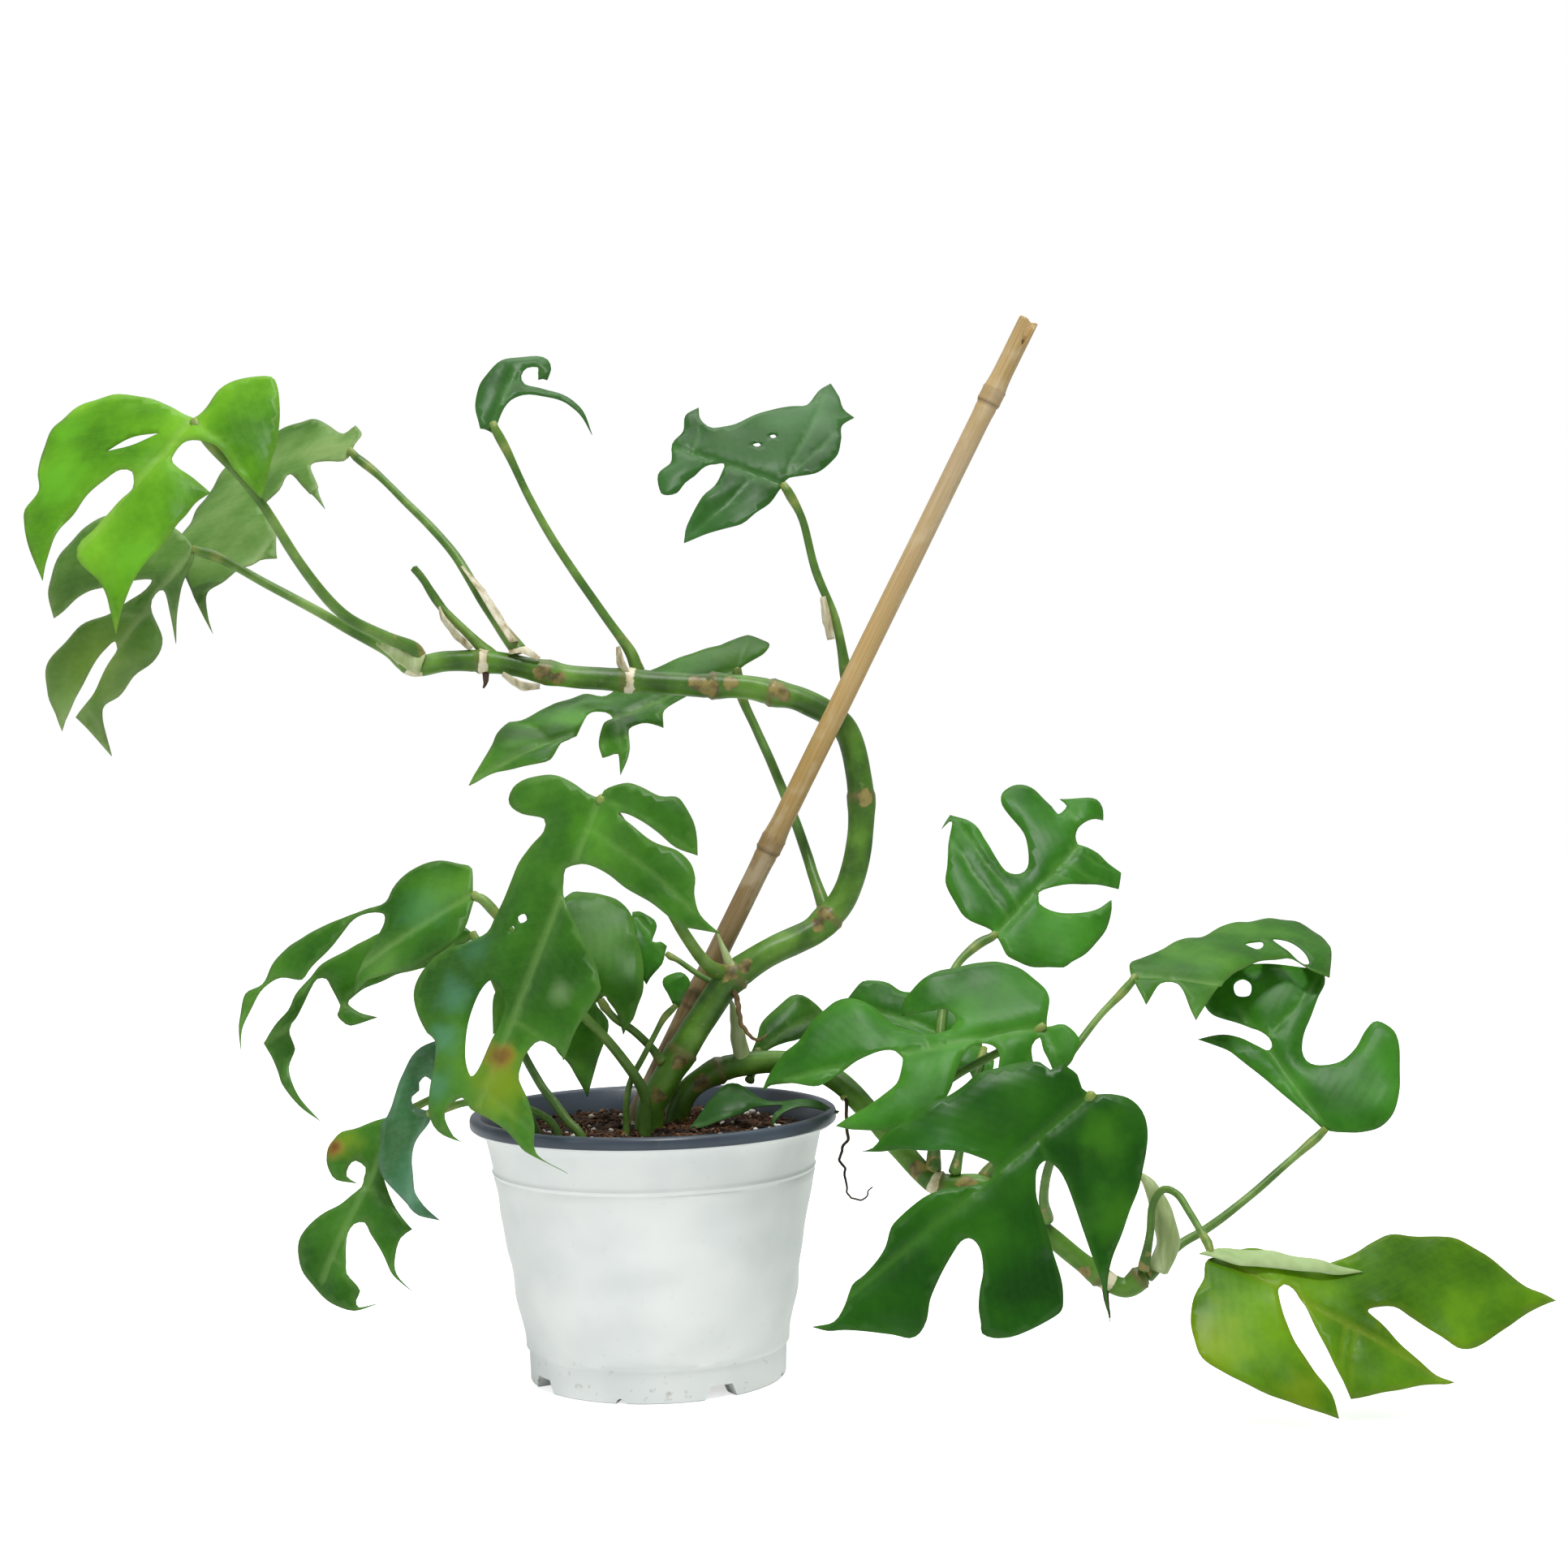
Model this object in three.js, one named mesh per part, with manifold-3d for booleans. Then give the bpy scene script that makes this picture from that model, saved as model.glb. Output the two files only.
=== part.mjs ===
// A climbing rhaphidophora in its nursery pot, beside a bamboo stake.
// Millimetres, +Z up. The origin is the middle of the pot's underside, and -Y is the front.
import * as THREE from 'three';
import { mergeVertices } from 'three/addons/utils/BufferGeometryUtils.js';
import { TessellateModifier } from 'three/addons/modifiers/TessellateModifier.js';
import Module from 'manifold-3d';

const wasm = await Module();
wasm.setup();

// ---- driving dimensions ----
const potHeight = 110;
const rimRadius = 76;
const rimBand = 5;
const rimWidth = 4;
const neckRadius = 69.5;
const stepRadius = 66.5;
const stepHeight = 87;
const footRadius = 53;
const footBand = 13.5;
const footRingWidth = 8;
const potWall = 1.6;
const floorRise = 6;
const floorThick = 2;
const centrePadRadius = 18;
const notchCount = 4;
const notchTurn = -59;
const notchWidth = 16;
const notchHeight = 5.5;
const drainRadius = 2.2;
const soilBelowRim = 9;
const soilCrown = 3;
const fitGap = 0.35;
const bladeThick = 0.8;
const potSides = 40;
const soilSides = 28;
const bladeSpan = 26;
const bladeSplits = 60;
const stakeFoot = [-30, 9, 62];
const stakeTop = [159, -2, 428];
const stakeFootRadius = 4.6;
const stakeTopRadius = 3.4;
const stakeBore = 1.7;
const stakeBoreDepth = 22;
const stakeKnots = [0.09, 0.25, 0.43, 0.75, 0.92];
const knotSwell = 0.9;

const green = { stem: 0x4e8f35, crown: 0x5fa32a, leaf: 0x3e8540, deep: 0x267020 };

// ---- small helpers ----
const vec = (p) => new THREE.Vector3(...p);

// The plant was laid out for a pot of routeHeight and routeReach. It rises with a taller
// pot, and what hangs past a wider rim moves out with it.
const routeHeight = 110;
const routeReach = 76;
const follow = ([x, y, z]) => {
  const away = Math.hypot(x, y);
  const past = THREE.MathUtils.smoothstep(away, 60, 72) * (1 - THREE.MathUtils.smoothstep(z, 150, 170));
  const out = away > 0 ? (past * (rimRadius - routeReach)) / away : 0;
  return [x * (1 + out), y * (1 + out), z + potHeight - routeHeight];
};

function fromIndexed(geometry) {
  return new wasm.Manifold(new wasm.Mesh({
    numProp: 3,
    vertProperties: new Float32Array(geometry.attributes.position.array),
    triVerts: new Uint32Array(geometry.index.array),
  }));
}

function joinPoints(geometry) {
  geometry.deleteAttribute('normal');
  geometry.deleteAttribute('uv');
  return mergeVertices(geometry, 1e-4);
}

function toSolid(geometry) {
  return fromIndexed(joinPoints(geometry));
}

function toGeometry(solid) {
  const mesh = solid.getMesh();
  const geometry = new THREE.BufferGeometry();
  geometry.setAttribute('position', new THREE.BufferAttribute(new Float32Array(mesh.vertProperties), 3));
  geometry.setIndex(new THREE.BufferAttribute(new Uint32Array(mesh.triVerts), 1));
  geometry.computeVertexNormals();
  return geometry;
}

const group = new THREE.Group();

function place(name, solid, colour, roughness) {
  const material = new THREE.MeshStandardMaterial({ color: colour, roughness, metalness: 0 });
  const mesh = new THREE.Mesh(toGeometry(solid), material);
  mesh.name = name;
  group.add(mesh);
}

// The largest loose piece of a solid, once whatever it meets has been cut away.
function trim(solid, cutters) {
  let left = solid;
  for (const cutter of cutters) {
    left = left.subtract(cutter);
  }
  const pieces = left.decompose();
  pieces.sort((a, b) => b.volume() - a.volume());
  return pieces[0];
}

// A round stem along a smooth curve, its radius running evenly between the listed radii.
function stemSolid(points, radii, sides, steps, grow = 0) {
  const curve = new THREE.CatmullRomCurve3(points.map(follow).map(vec), false, 'centripetal');
  const frames = curve.computeFrenetFrames(steps, false);
  const position = [];
  const index = [];
  for (let i = 0; i <= steps; i += 1) {
    const centre = curve.getPointAt(i / steps);
    const at = (i / steps) * (radii.length - 1);
    const low = Math.min(Math.floor(at), radii.length - 2);
    const radius = THREE.MathUtils.lerp(radii[low], radii[low + 1], at - low) + grow;
    for (let s = 0; s < sides; s += 1) {
      const turn = (s / sides) * Math.PI * 2;
      const spot = centre.clone()
        .addScaledVector(frames.normals[i], Math.cos(turn) * radius)
        .addScaledVector(frames.binormals[i], Math.sin(turn) * radius);
      position.push(spot.x, spot.y, spot.z);
    }
  }
  for (let i = 0; i < steps; i += 1) {
    for (let s = 0; s < sides; s += 1) {
      const a = i * sides + s;
      const b = i * sides + ((s + 1) % sides);
      index.push(a, b, a + sides, b, b + sides, a + sides);
    }
  }
  for (let s = 1; s < sides - 1; s += 1) {
    const end = steps * sides;
    index.push(0, s + 1, s, end, end + s, end + s + 1);
  }
  const geometry = new THREE.BufferGeometry();
  geometry.setAttribute('position', new THREE.Float32BufferAttribute(position, 3));
  geometry.setIndex(index);
  return fromIndexed(geometry);
}

// ---- pot ----
function innerRadius(z) {
  const share = (z - footBand) / (stepHeight - footBand);
  return THREE.MathUtils.lerp(footRadius + 1.5, stepRadius, share) - potWall;
}

function potSolid() {
  const floorTop = floorRise + floorThick;
  const rimBottom = potHeight - rimBand;
  const profile = [
    [0, 0], [centrePadRadius, 0], [centrePadRadius + 2, floorRise],
    [footRadius - footRingWidth - 1, floorRise], [footRadius - footRingWidth, 0],
    [footRadius, 0], [footRadius + 0.6, footBand], [footRadius + 2, footBand + 1.5],
    [stepRadius - 1, stepHeight - 1.5], [stepRadius + 0.6, stepHeight],
    [stepRadius + 0.2, stepHeight + 2], [neckRadius, rimBottom - 1.5],
    [rimRadius - 1, rimBottom - 1], [rimRadius, rimBottom + 1],
    [rimRadius - 0.4, potHeight - 0.6], [rimRadius - 1.4, potHeight],
    [rimRadius - rimWidth, potHeight], [rimRadius - rimWidth - 0.8, potHeight - 1],
    [neckRadius - potWall, rimBottom - 3], [innerRadius(stepHeight), stepHeight],
    [innerRadius(footBand), footBand], [innerRadius(footBand) - 3, floorTop], [0, floorTop],
  ];
  const lathe = new THREE.LatheGeometry(profile.map(([r, z]) => new THREE.Vector2(r, z)), potSides);
  lathe.rotateX(Math.PI / 2);
  let solid = toSolid(lathe);
  for (let k = 0; k < notchCount; k += 1) {
    const turn = THREE.MathUtils.degToRad(notchTurn + (360 / notchCount) * k);
    const half = notchWidth / 2;
    const outline = new THREE.Shape([
      new THREE.Vector2(-half, -1), new THREE.Vector2(half, -1),
      new THREE.Vector2(half - 3, notchHeight), new THREE.Vector2(3 - half, notchHeight),
    ]);
    const notch = new THREE.ExtrudeGeometry(outline, { depth: footRingWidth + 6, bevelEnabled: false });
    notch.rotateX(Math.PI / 2);
    notch.translate(0, footRadius + 3, 0);
    notch.rotateZ(turn - Math.PI / 2);
    solid = solid.subtract(toSolid(notch));
    const drain = new THREE.CylinderGeometry(drainRadius, drainRadius, footRingWidth + 6, 10);
    drain.translate(0, footRadius - footRingWidth / 2, 0);
    drain.rotateZ(turn - Math.PI / 2 - Math.PI / notchCount);
    solid = solid.subtract(toSolid(drain));
  }
  return solid;
}

function soilSolid(cutters) {
  const top = potHeight - soilBelowRim;
  const bottom = floorRise + floorThick + fitGap;
  const edge = (z) => innerRadius(z) - fitGap;
  const profile = [
    [0, bottom], [edge(footBand) - 3.2, bottom], [edge(footBand), footBand],
    [edge(stepHeight), stepHeight], [edge(stepHeight) + 0.8, top],
    [edge(stepHeight) * 0.7, top + soilCrown * 0.5], [edge(stepHeight) * 0.35, top + soilCrown],
    [0, top + soilCrown],
  ];
  const lathe = new THREE.LatheGeometry(profile.map(([r, z]) => new THREE.Vector2(r, z)), soilSides);
  lathe.rotateX(Math.PI / 2);
  return trim(toSolid(lathe), cutters);
}

// ---- bamboo stake ----
function stakeSolid(grow) {
  const foot = vec(follow(stakeFoot));
  const axis = vec(follow(stakeTop)).sub(foot);
  const length = axis.length();
  const radiusAt = (share) => THREE.MathUtils.lerp(stakeFootRadius, stakeTopRadius, share) + grow;
  const profile = [[0, 0], [radiusAt(0), 0]];
  for (const knot of stakeKnots) {
    const z = knot * length;
    profile.push([radiusAt(knot), z - 4], [radiusAt(knot) + knotSwell, z], [radiusAt(knot), z + 3]);
  }
  profile.push([radiusAt(1), length]);
  if (grow === 0) {
    profile.push([stakeBore, length], [stakeBore, length - stakeBoreDepth], [0, length - stakeBoreDepth]);
  } else {
    profile.push([0, length]);
  }
  const lathe = new THREE.LatheGeometry(profile.map(([r, z]) => new THREE.Vector2(r, z)), 12);
  lathe.rotateX(Math.PI / 2);
  lathe.applyQuaternion(new THREE.Quaternion().setFromUnitVectors(new THREE.Vector3(0, 0, 1), axis.normalize()));
  lathe.translate(foot.x, foot.y, foot.z);
  return toSolid(lathe);
}

// ---- leaves ----
// A leaf lies in its own plane: a runs from the stalk to the tip, b runs across it.
// heads is the way a points, faces is the way its upper side looks. droop bends the tip
// back and cup bends both sides back, each as a share of the leaf's length.
// stalk runs from the stem to the blade, and its two radii are at those ends.
const leaves = [
  {
    name: 'crown_front', colour: green.crown, length: 90, droop: 0.1, cup: 0.25,
    base: [-174, -45, 395], heads: [-61, -36, -71], faces: [-10, -85, 52],
    outline: [
      [-1, -1], [-8, 0], [-16, 0], [-23, 3], [-30, 10], [-32, 16], [-23, 26], [-13, 33], [-3, 38], [5, 42],
      [11, 44], [10, 37], [8, 28], [5, 19], [7, 9], [11, 4], [18, 4], [20, 9], [20, 17], [21, 27],
      [28, 25], [36, 26], [47, 27], [58, 27], [66, 27], [72, 28], [87, 33], [78, 22], [75, 15], [74, 6],
      [71, 0], [66, -2], [53, -1], [45, 0], [37, 0], [32, -4], [34, -8], [40, -11], [47, -13], [56, -14],
      [65, -14], [73, -12], [80, -10], [86, -7], [78, -21], [72, -29], [66, -35], [57, -35], [50, -43],
      [41, -49], [30, -53], [20, -53], [12, -47], [6, -38], [1, -24], [0, -13],
    ],
    stalk: [[-95, 1, 303], [-105, -5, 308], [-122, -13, 318], [-136, -24, 337], [-151, -35, 364], [-167, -43, 384],
      [-173, -46, 393]],
    radii: [2.6, 1.5],
  },
  {
    name: 'crown_low', colour: green.leaf, length: 86, droop: 0.1, cup: 0.2,
    base: [-184, -5, 346], heads: [-56, -31, -77], faces: [-20, -85, 48],
    outline: [
      [-2, -3], [-5, -18], [-3, -34], [2, -50], [11, -57], [20, -59], [31, -58], [42, -52], [51, -43],
      [42, -36], [34, -29], [22, -12], [20, -6], [27, -7], [35, -12], [41, -16], [52, -24], [63, -28],
      [73, -26], [81, -19], [86, -11], [90, -6],
      [84, -6], [73, -7], [62, -7], [53, -6], [49, -5], [53, -1], [63, 0], [73, 0], [83, -2], [85, 7],
      [89, 22], [75, 8], [68, 12], [58, 14], [49, 16], [38, 12], [29, -1], [22, -1], [22, 3], [29, 11],
      [37, 18], [25, 12], [13, 6], [4, 4],
    ],
    stalk: [[-100, 8, 297], [-107, 8, 303], [-122, 3, 312], [-133, -1, 319], [-154, -4, 331], [-173, -5, 342],
      [-182, -6, 345]],
    radii: [2.4, 1.6],
  },
  {
    name: 'crown_back', colour: green.leaf, length: 95, droop: 0, cup: 0.15,
    base: [-126, 42, 390], heads: [-66, -38, -64], faces: [-35, -60, 72],
    outline: [
      [0, 0], [7, -1], [13, -12], [21, 1], [31, 19], [26, -2], [23, -16], [32, -12], [42, -13], [49, 5],
      [61, 20], [68, 14], [84, 12], [94, 15], [105, 29], [90, -7], [82, -27], [70, -42], [52, -58], [30, -68],
      [12, -72], [1, -68], [-3, -60], [-10, -45], [-10, -30], [-8, -15], [-15, -16], [-10, -4],
    ],
    stalk: [[-54, 11, 304], [-60, 13, 312], [-68, 16, 324], [-79, 24, 342], [-90, 30, 355], [-102, 36, 367],
      [-114, 42, 379], [-125, 44, 388]],
    radii: [2.4, 1.4],
  },
  {
    name: 'crown_small', colour: green.crown, length: 42, droop: 0, cup: 0.1,
    base: [-61, 10, 397], heads: [25, 60, 76], faces: [10, -80, 60],
    outline: [
      [0, -1], [-6, 4], [8, 11], [15, 12], [23, 10], [31, 6], [38, 1], [41, -5], [42, -10], [39, -13],
      [35, -13], [30, -11], [28, -20], [23, -28], [20, -34], [14, -39], [15, -32], [20, -22], [19, -12],
      [16, -5], [8, -2],
    ],
    stalk: [[-4, 14, 295], [-7, 14, 302], [-18, 14, 318], [-35, 13, 344], [-46, 12, 364], [-55, 11, 384],
      [-61, 9, 396]],
    radii: [2, 1.5],
  },
  {
    name: 'crown_right', colour: green.deep, length: 60, droop: 0.08, cup: 0.15,
    base: [59, 10, 369], heads: [-91, 17, 38], faces: [10, -80, 60],
    outline: [
      [0, 0], [-1, -5], [-10, -11], [-14, -25], [-12, -36], [-8, -48], [-10, -58], [-4, -60], [1, -68], [9, -80],
      [10, -65], [10, -52], [15, -48], [21, -40], [26, -32], [33, -23], [39, -17], [46, -20], [51, -30],
      [53, -20], [50, -11], [51, -2], [48, 5], [47, 9], [49, 17], [44, 25], [41, 25], [38, 22], [37, 16],
      [35, 11], [33, 4], [27, -1], [25, 7], [25, 15], [27, 22], [28, 34], [26, 41], [20, 36], [13, 31],
      [7, 26], [4, 19], [1, 12],
    ],
    stalk: [[84, 15, 290], [80, 14, 312], [72, 12, 333], [67, 11, 354], [60, 9, 368]],
    radii: [2, 1.5],
  },
  {
    name: 'back_left', colour: green.leaf, length: 116, droop: 0, cup: 0.1,
    base: [38, 45, 293], heads: [-90, -28, -32], faces: [-10, -60, 80],
    outline: [
      [0, 0], [-13, -2], [-19, -8], [-20, -12], [-16, -25], [-5, -21], [1, -19], [19, -19], [40, -20],
      [55, -16], [63, -23], [71, -23], [81, -22], [91, -20], [97, -25], [105, -17], [110, -10], [118, -2],
      [127, 5], [117, 7], [106, 11], [98, 15], [93, 15], [85, 7], [81, 6], [73, -1], [65, -8], [59, 1],
      [64, 4], [70, 11], [72, 19], [66, 22], [70, 34], [62, 26], [56, 12], [49, 9], [42, 15], [38, 8],
      [29, 7], [17, 6], [7, 5],
    ],
    stalk: [[74, 8, 189], [69, 16, 204], [66, 22, 214], [61, 28, 229], [52, 36, 252], [46, 41, 266], [40, 45, 280],
      [38, 45, 292]],
    radii: [2.4, 1.7],
  },
  {
    name: 'front_centre', colour: green.leaf, length: 145, droop: 0.05, cup: 0.15,
    base: [-16, -50, 242], heads: [-37, -21, -91], faces: [-20, -93, 30],
    outline: [
      [0, 0], [0, -5], [-2, -12], [-3, -19], [-2, -25], [2, -32], [7, -36], [12, -36], [15, -33], [16, -28],
      [15, -19], [20, -17], [27, -20], [35, -22], [50, -22], [58, -23], [65, -24], [71, -31], [77, -39],
      [84, -43], [92, -45], [98, -44], [105, -39], [110, -33], [112, -28], [121, -25], [132, -23], [138, -21],
      [143, -17], [145, -12], [145, -3], [144, -8], [137, -14], [129, -10], [132, -5], [133, 4], [135, 12],
      [138, 18], [140, 22], [142, 40], [139, 26], [129, 22], [122, 17], [115, 10], [110, 9], [104, 9], [98, 12],
      [99, 20], [102, 23], [87, 25], [73, 29], [71, 29], [63, 23], [55, 14], [48, 7], [41, 0], [36, -2],
      [31, -3], [28, 1], [27, 7], [28, 15], [31, 24], [33, 35], [36, 44], [38, 50], [35, 64], [31, 55],
      [24, 50], [18, 48], [13, 44], [10, 37], [10, 27], [7, 18], [4, 10], [3, 13], [4, 21], [6, 28], [9, 36],
      [9, 45], [4, 43], [-3, 39], [-9, 32], [-10, 29], [-8, 23], [-9, 15], [-9, 9], [-6, 4], [-3, 1],
    ],
    stalk: [[30, -10, 167], [24, -18, 172], [17, -28, 183], [11, -36, 195], [0, -42, 219], [-10, -46, 234],
      [-15, -48, 240]],
    radii: [2.6, 1.9],
  },
  {
    name: 'centre_back', colour: green.leaf, length: 50, droop: 0, cup: 0.15,
    base: [-20, -15, 158], heads: [-88, 17, 45], faces: [0, -93, 36],
    outline: [
      [-1, -2], [-3, -1], [-9, 2], [-15, 8], [-15, 5], [-16, 1], [-15, -5], [-14, -11], [-11, -17], [-8, -22],
      [-3, -28], [2, -33], [6, -38], [11, -41], [16, -42], [21, -41], [25, -40], [30, -38], [33, -36],
      [35, -30], [40, -19], [40, -4], [38, 8], [40, 18], [33, 32], [26, 22], [15, 21], [5, 27], [-1, 29],
      [-6, 32], [-11, 35], [-14, 37], [-13, 32], [-12, 27], [-11, 22], [-10, 15], [-9, 10], [-7, 6], [-3, 4],
      [1, 2],
    ],
    stalk: [[3, -13, 134], [0, -13, 138], [-7, -14, 145], [-14, -15, 150], [-19, -16, 156]],
    radii: [1.8, 1.5],
  },
  {
    name: 'young_upper', colour: green.crown, length: 24, droop: 0, cup: 0.1,
    base: [7, 0, 175], heads: [-64, 25, 72], faces: [10, -91, 40],
    outline: [
      [1, 0], [-2, 4], [-3, 11], [-4, 14], [4, 13], [16, 6], [24, -2], [22, -4], [19, -5], [15, -6],
      [12, -5], [10, -2], [8, 1], [6, -2], [3, -3],
    ],
    stalk: [[30, -4, 161], [26, -4, 163], [19, -3, 167], [12, -2, 172], [8, -1, 174]],
    radii: [1.4, 1.1],
  },
  {
    name: 'young_lower', colour: green.crown, length: 14, droop: 0, cup: 0.1,
    base: [11, -15, 155], heads: [8, 31, 95], faces: [-10, -94, 31],
    outline: [[0, 1], [5, 4], [8, 6], [11, 6], [13, 3], [14, -1], [12, -4], [9, -5], [5, -3], [0, -1]],
    stalk: [[-10, -22, 92], [-10, -22, 112], [-9, -22, 121], [-7, -22, 127], [-3, -20, 134], [2, -18, 143],
      [6, -17, 150], [10, -16, 154]],
    radii: [1.5, 1.1],
  },
  {
    name: 'left_upper', colour: green.leaf, length: 110, droop: 0.1, cup: 0.2,
    base: [-70, -25, 203], heads: [-86, -13, -49], faces: [-20, -80, 56],
    outline: [
      [0, 0], [-5, -11], [-2, -17], [5, -25], [15, -27], [22, -26], [27, -24], [32, -21], [39, -23], [45, -24],
      [57, -28], [68, -30], [76, -31], [85, -26], [92, -21], [100, -22], [107, -13], [113, -3], [108, -9],
      [100, -15], [92, -19], [84, -18], [77, -11], [73, -12], [68, -14], [60, -17], [54, -20], [49, -22],
      [43, -22], [38, -20], [35, -15], [38, -10], [50, -4], [56, 0], [61, 6], [54, 7], [50, 9], [42, 12],
      [35, 15], [27, 16], [18, 16], [12, 14], [8, 11], [1, 3],
    ],
    stalk: [[-3, -22, 92], [-2, -23, 112], [-2, -24, 119], [-6, -26, 128], [-16, -28, 142], [-32, -30, 160],
      [-50, -29, 182], [-64, -27, 199], [-69, -26, 202]],
    radii: [2.4, 1.6],
  },
  {
    name: 'left_lower', colour: green.leaf, length: 96, droop: 0, cup: 0.1,
    base: [-74, 5, 185], heads: [-83, -13, -54], faces: [-15, -88, 45],
    outline: [
      [0, 1], [10, 0], [22, 2], [29, -1], [36, -4], [45, -6], [50, -7], [56, -7], [59, -6], [57, 0], [52, 6],
      [63, 3], [65, -1], [65, -4], [62, -7], [61, -17], [61, -21], [64, -23], [68, -21], [74, -17], [80, -13],
      [85, -11], [87, -2], [90, 1], [93, 4], [95, 10], [96, 18], [94, 31], [98, 20], [99, 9], [98, 3],
      [97, -6], [97, -14], [89, -16], [81, -18], [75, -22], [66, -25], [59, -28], [45, -27], [38, -25],
      [22, -21], [9, -15], [1, -4],
    ],
    stalk: [[-26, -36, 88], [-27, -36, 104], [-33, -33, 111], [-38, -28, 117], [-45, -21, 125], [-54, -12, 140],
      [-63, -3, 162], [-73, 4, 184]],
    radii: [2, 1.5],
  },
  {
    name: 'rim_left', colour: green.deep, length: 42, droop: 0, cup: 0.2,
    base: [-88, -45, 117], heads: [-24, -13, -96], faces: [-31, -93, 21],
    outline: [
      [-1, 0], [-1, -5], [-2, -8], [-5, -9], [-8, -7], [-11, -8], [-14, -6], [-13, -3], [-18, -2], [-29, -5],
      [-25, -10], [-19, -14], [-11, -16], [-5, -16], [0, -16], [5, -17], [8, -19], [15, -18], [21, -17],
      [26, -14], [30, -10], [34, -4], [38, 2], [40, 6], [40, 14], [37, 9], [34, 5], [30, 1], [23, -1],
      [18, -2], [13, -2], [9, -1], [3, 1],
    ],
    stalk: [[-34, -47, 92], [-36, -46, 108], [-42, -44, 115], [-55, -43, 120], [-70, -43, 121], [-80, -44, 119],
      [-87, -46, 117]],
    radii: [1.7, 1.4],
  },
  {
    name: 'low_left', colour: green.crown, length: 70, droop: 0.05, cup: 0.15,
    base: [-104, -30, 111], heads: [-40, -35, -84], faces: [-20, -87, 46],
    outline: [
      [-4, -2], [1, -8], [6, -14], [10, -20], [14, -22], [18, -23], [23, -21], [27, -17], [29, -13], [27, -5],
      [26, -10], [22, -11], [19, -9], [20, -4], [24, -3], [28, -2], [33, -4], [38, -7], [43, -11], [50, -15],
      [55, -16], [61, -14], [67, -10], [71, -3], [74, 4], [75, 10], [74, 17], [68, 24], [72, 18], [70, 16],
      [66, 16], [64, 13], [62, 9], [58, 7], [52, 4], [47, 2], [43, 3], [41, 7], [44, 11], [48, 17], [52, 22],
      [56, 27], [59, 37], [55, 28], [48, 24], [41, 23], [36, 25], [34, 21], [31, 16], [27, 11], [22, 6],
      [17, 3], [8, 2],
    ],
    stalk: [[-44, -29, 92], [-47, -28, 108], [-54, -27, 117], [-68, -26, 122], [-85, -26, 121], [-97, -28, 116],
      [-103, -31, 112]],
    radii: [2, 1.5],
  },
  {
    name: 'right_upper', colour: green.leaf, length: 84, droop: 0.05, cup: 0.15,
    base: [147, 40, 177], heads: [66, 44, 61], faces: [10, -86, 50],
    outline: [
      [0, 3], [-3, 12], [-3, 17], [1, 25], [5, 32], [11, 36], [21, 43], [33, 50], [27, 51], [36, 53],
      [37, 45], [36, 38], [33, 32], [29, 23], [27, 16], [29, 12], [33, 10], [37, 11], [44, 17], [48, 22],
      [51, 31], [53, 38], [56, 41], [60, 42], [65, 41], [68, 38], [70, 32], [69, 22], [67, 17], [74, 17],
      [76, 22], [81, 14], [85, 9], [84, 5], [80, 1], [73, 5], [67, 6], [62, 4], [60, 1], [63, -8],
      [63, -14], [64, -21], [57, -25], [54, -21], [49, -15], [41, -8], [33, -3], [29, -1], [26, -3],
      [24, -5], [25, -10], [29, -16], [36, -22], [42, -25], [50, -26], [44, -30], [37, -33], [30, -34],
      [20, -34], [12, -32], [8, -31], [4, -26], [-2, -20], [-5, -12], [-5, -9], [-3, -5],
    ],
    stalk: [[115, -22, 89], [116, -12, 100], [118, 0, 120], [122, 18, 147], [128, 30, 163], [138, 38, 172],
      [146, 40, 176]],
    radii: [2.2, 1.6],
  },
  {
    name: 'right_front', colour: green.deep, length: 116, droop: 0.08, cup: 0.12,
    base: [160, -35, 146], heads: [-98, -12, -15], faces: [0, -80, 60],
    outline: [
      [-1, 0], [-5, -11], [-5, -17], [-2, -23], [3, -30], [11, -34], [18, -35], [27, -35], [35, -35],
      [42, -33], [47, -30], [52, -26], [54, -20], [49, -19], [43, -18], [37, -17], [34, -11], [37, -7],
      [44, -7], [49, -9], [53, -12], [57, -15], [60, -19], [64, -25], [69, -29], [74, -32], [79, -32],
      [84, -29], [91, -24], [98, -17], [103, -15], [106, -13], [111, -9], [116, -3], [112, -4], [106, -2],
      [100, 2], [96, 4], [92, 4], [87, 2], [79, -2], [72, -3], [65, -4], [61, -3], [59, 1], [61, 7], [64, 12],
      [69, 15], [74, 17], [80, 19], [91, 22], [85, 26], [73, 30], [60, 29], [49, 25], [44, 20], [41, 15],
      [38, 10], [35, 6], [31, 3], [27, 2], [24, 3], [22, 5], [21, 9], [25, 19], [17, 18], [11, 17], [8, 16],
      [8, 11], [7, 7], [3, 4], [3, 10], [1, 20], [-4, 19], [-7, 17], [-10, 13], [-12, 10], [-11, 6], [-8, 2],
      [-5, 1],
    ],
    stalk: [[100, -21, 100], [105, -26, 108], [114, -34, 118], [126, -40, 127], [144, -42, 136], [158, -38, 144]],
    radii: [2, 1.6],
  },
  {
    name: 'right_middle', colour: green.deep, length: 60, droop: 0, cup: 0.1,
    base: [139, 15, 131], heads: [-91, 25, 33], faces: [0, -80, 60],
    outline: [
      [0, 0], [7, -9], [18, -16], [30, -17], [41, -12], [49, -14], [55, -13], [60, -11], [62, -4], [63, 1],
      [49, 8], [36, 6], [25, 9], [16, 19], [7, 15], [4, 11], [-4, 17], [-7, 9], [-5, 2],
    ],
    stalk: [[124, -24, 88], [128, -14, 100], [133, 0, 116], [138, 12, 129]],
    radii: [1.8, 1.4],
  },
  {
    name: 'small_right', colour: green.deep, length: 35, droop: 0, cup: 0.1,
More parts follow.
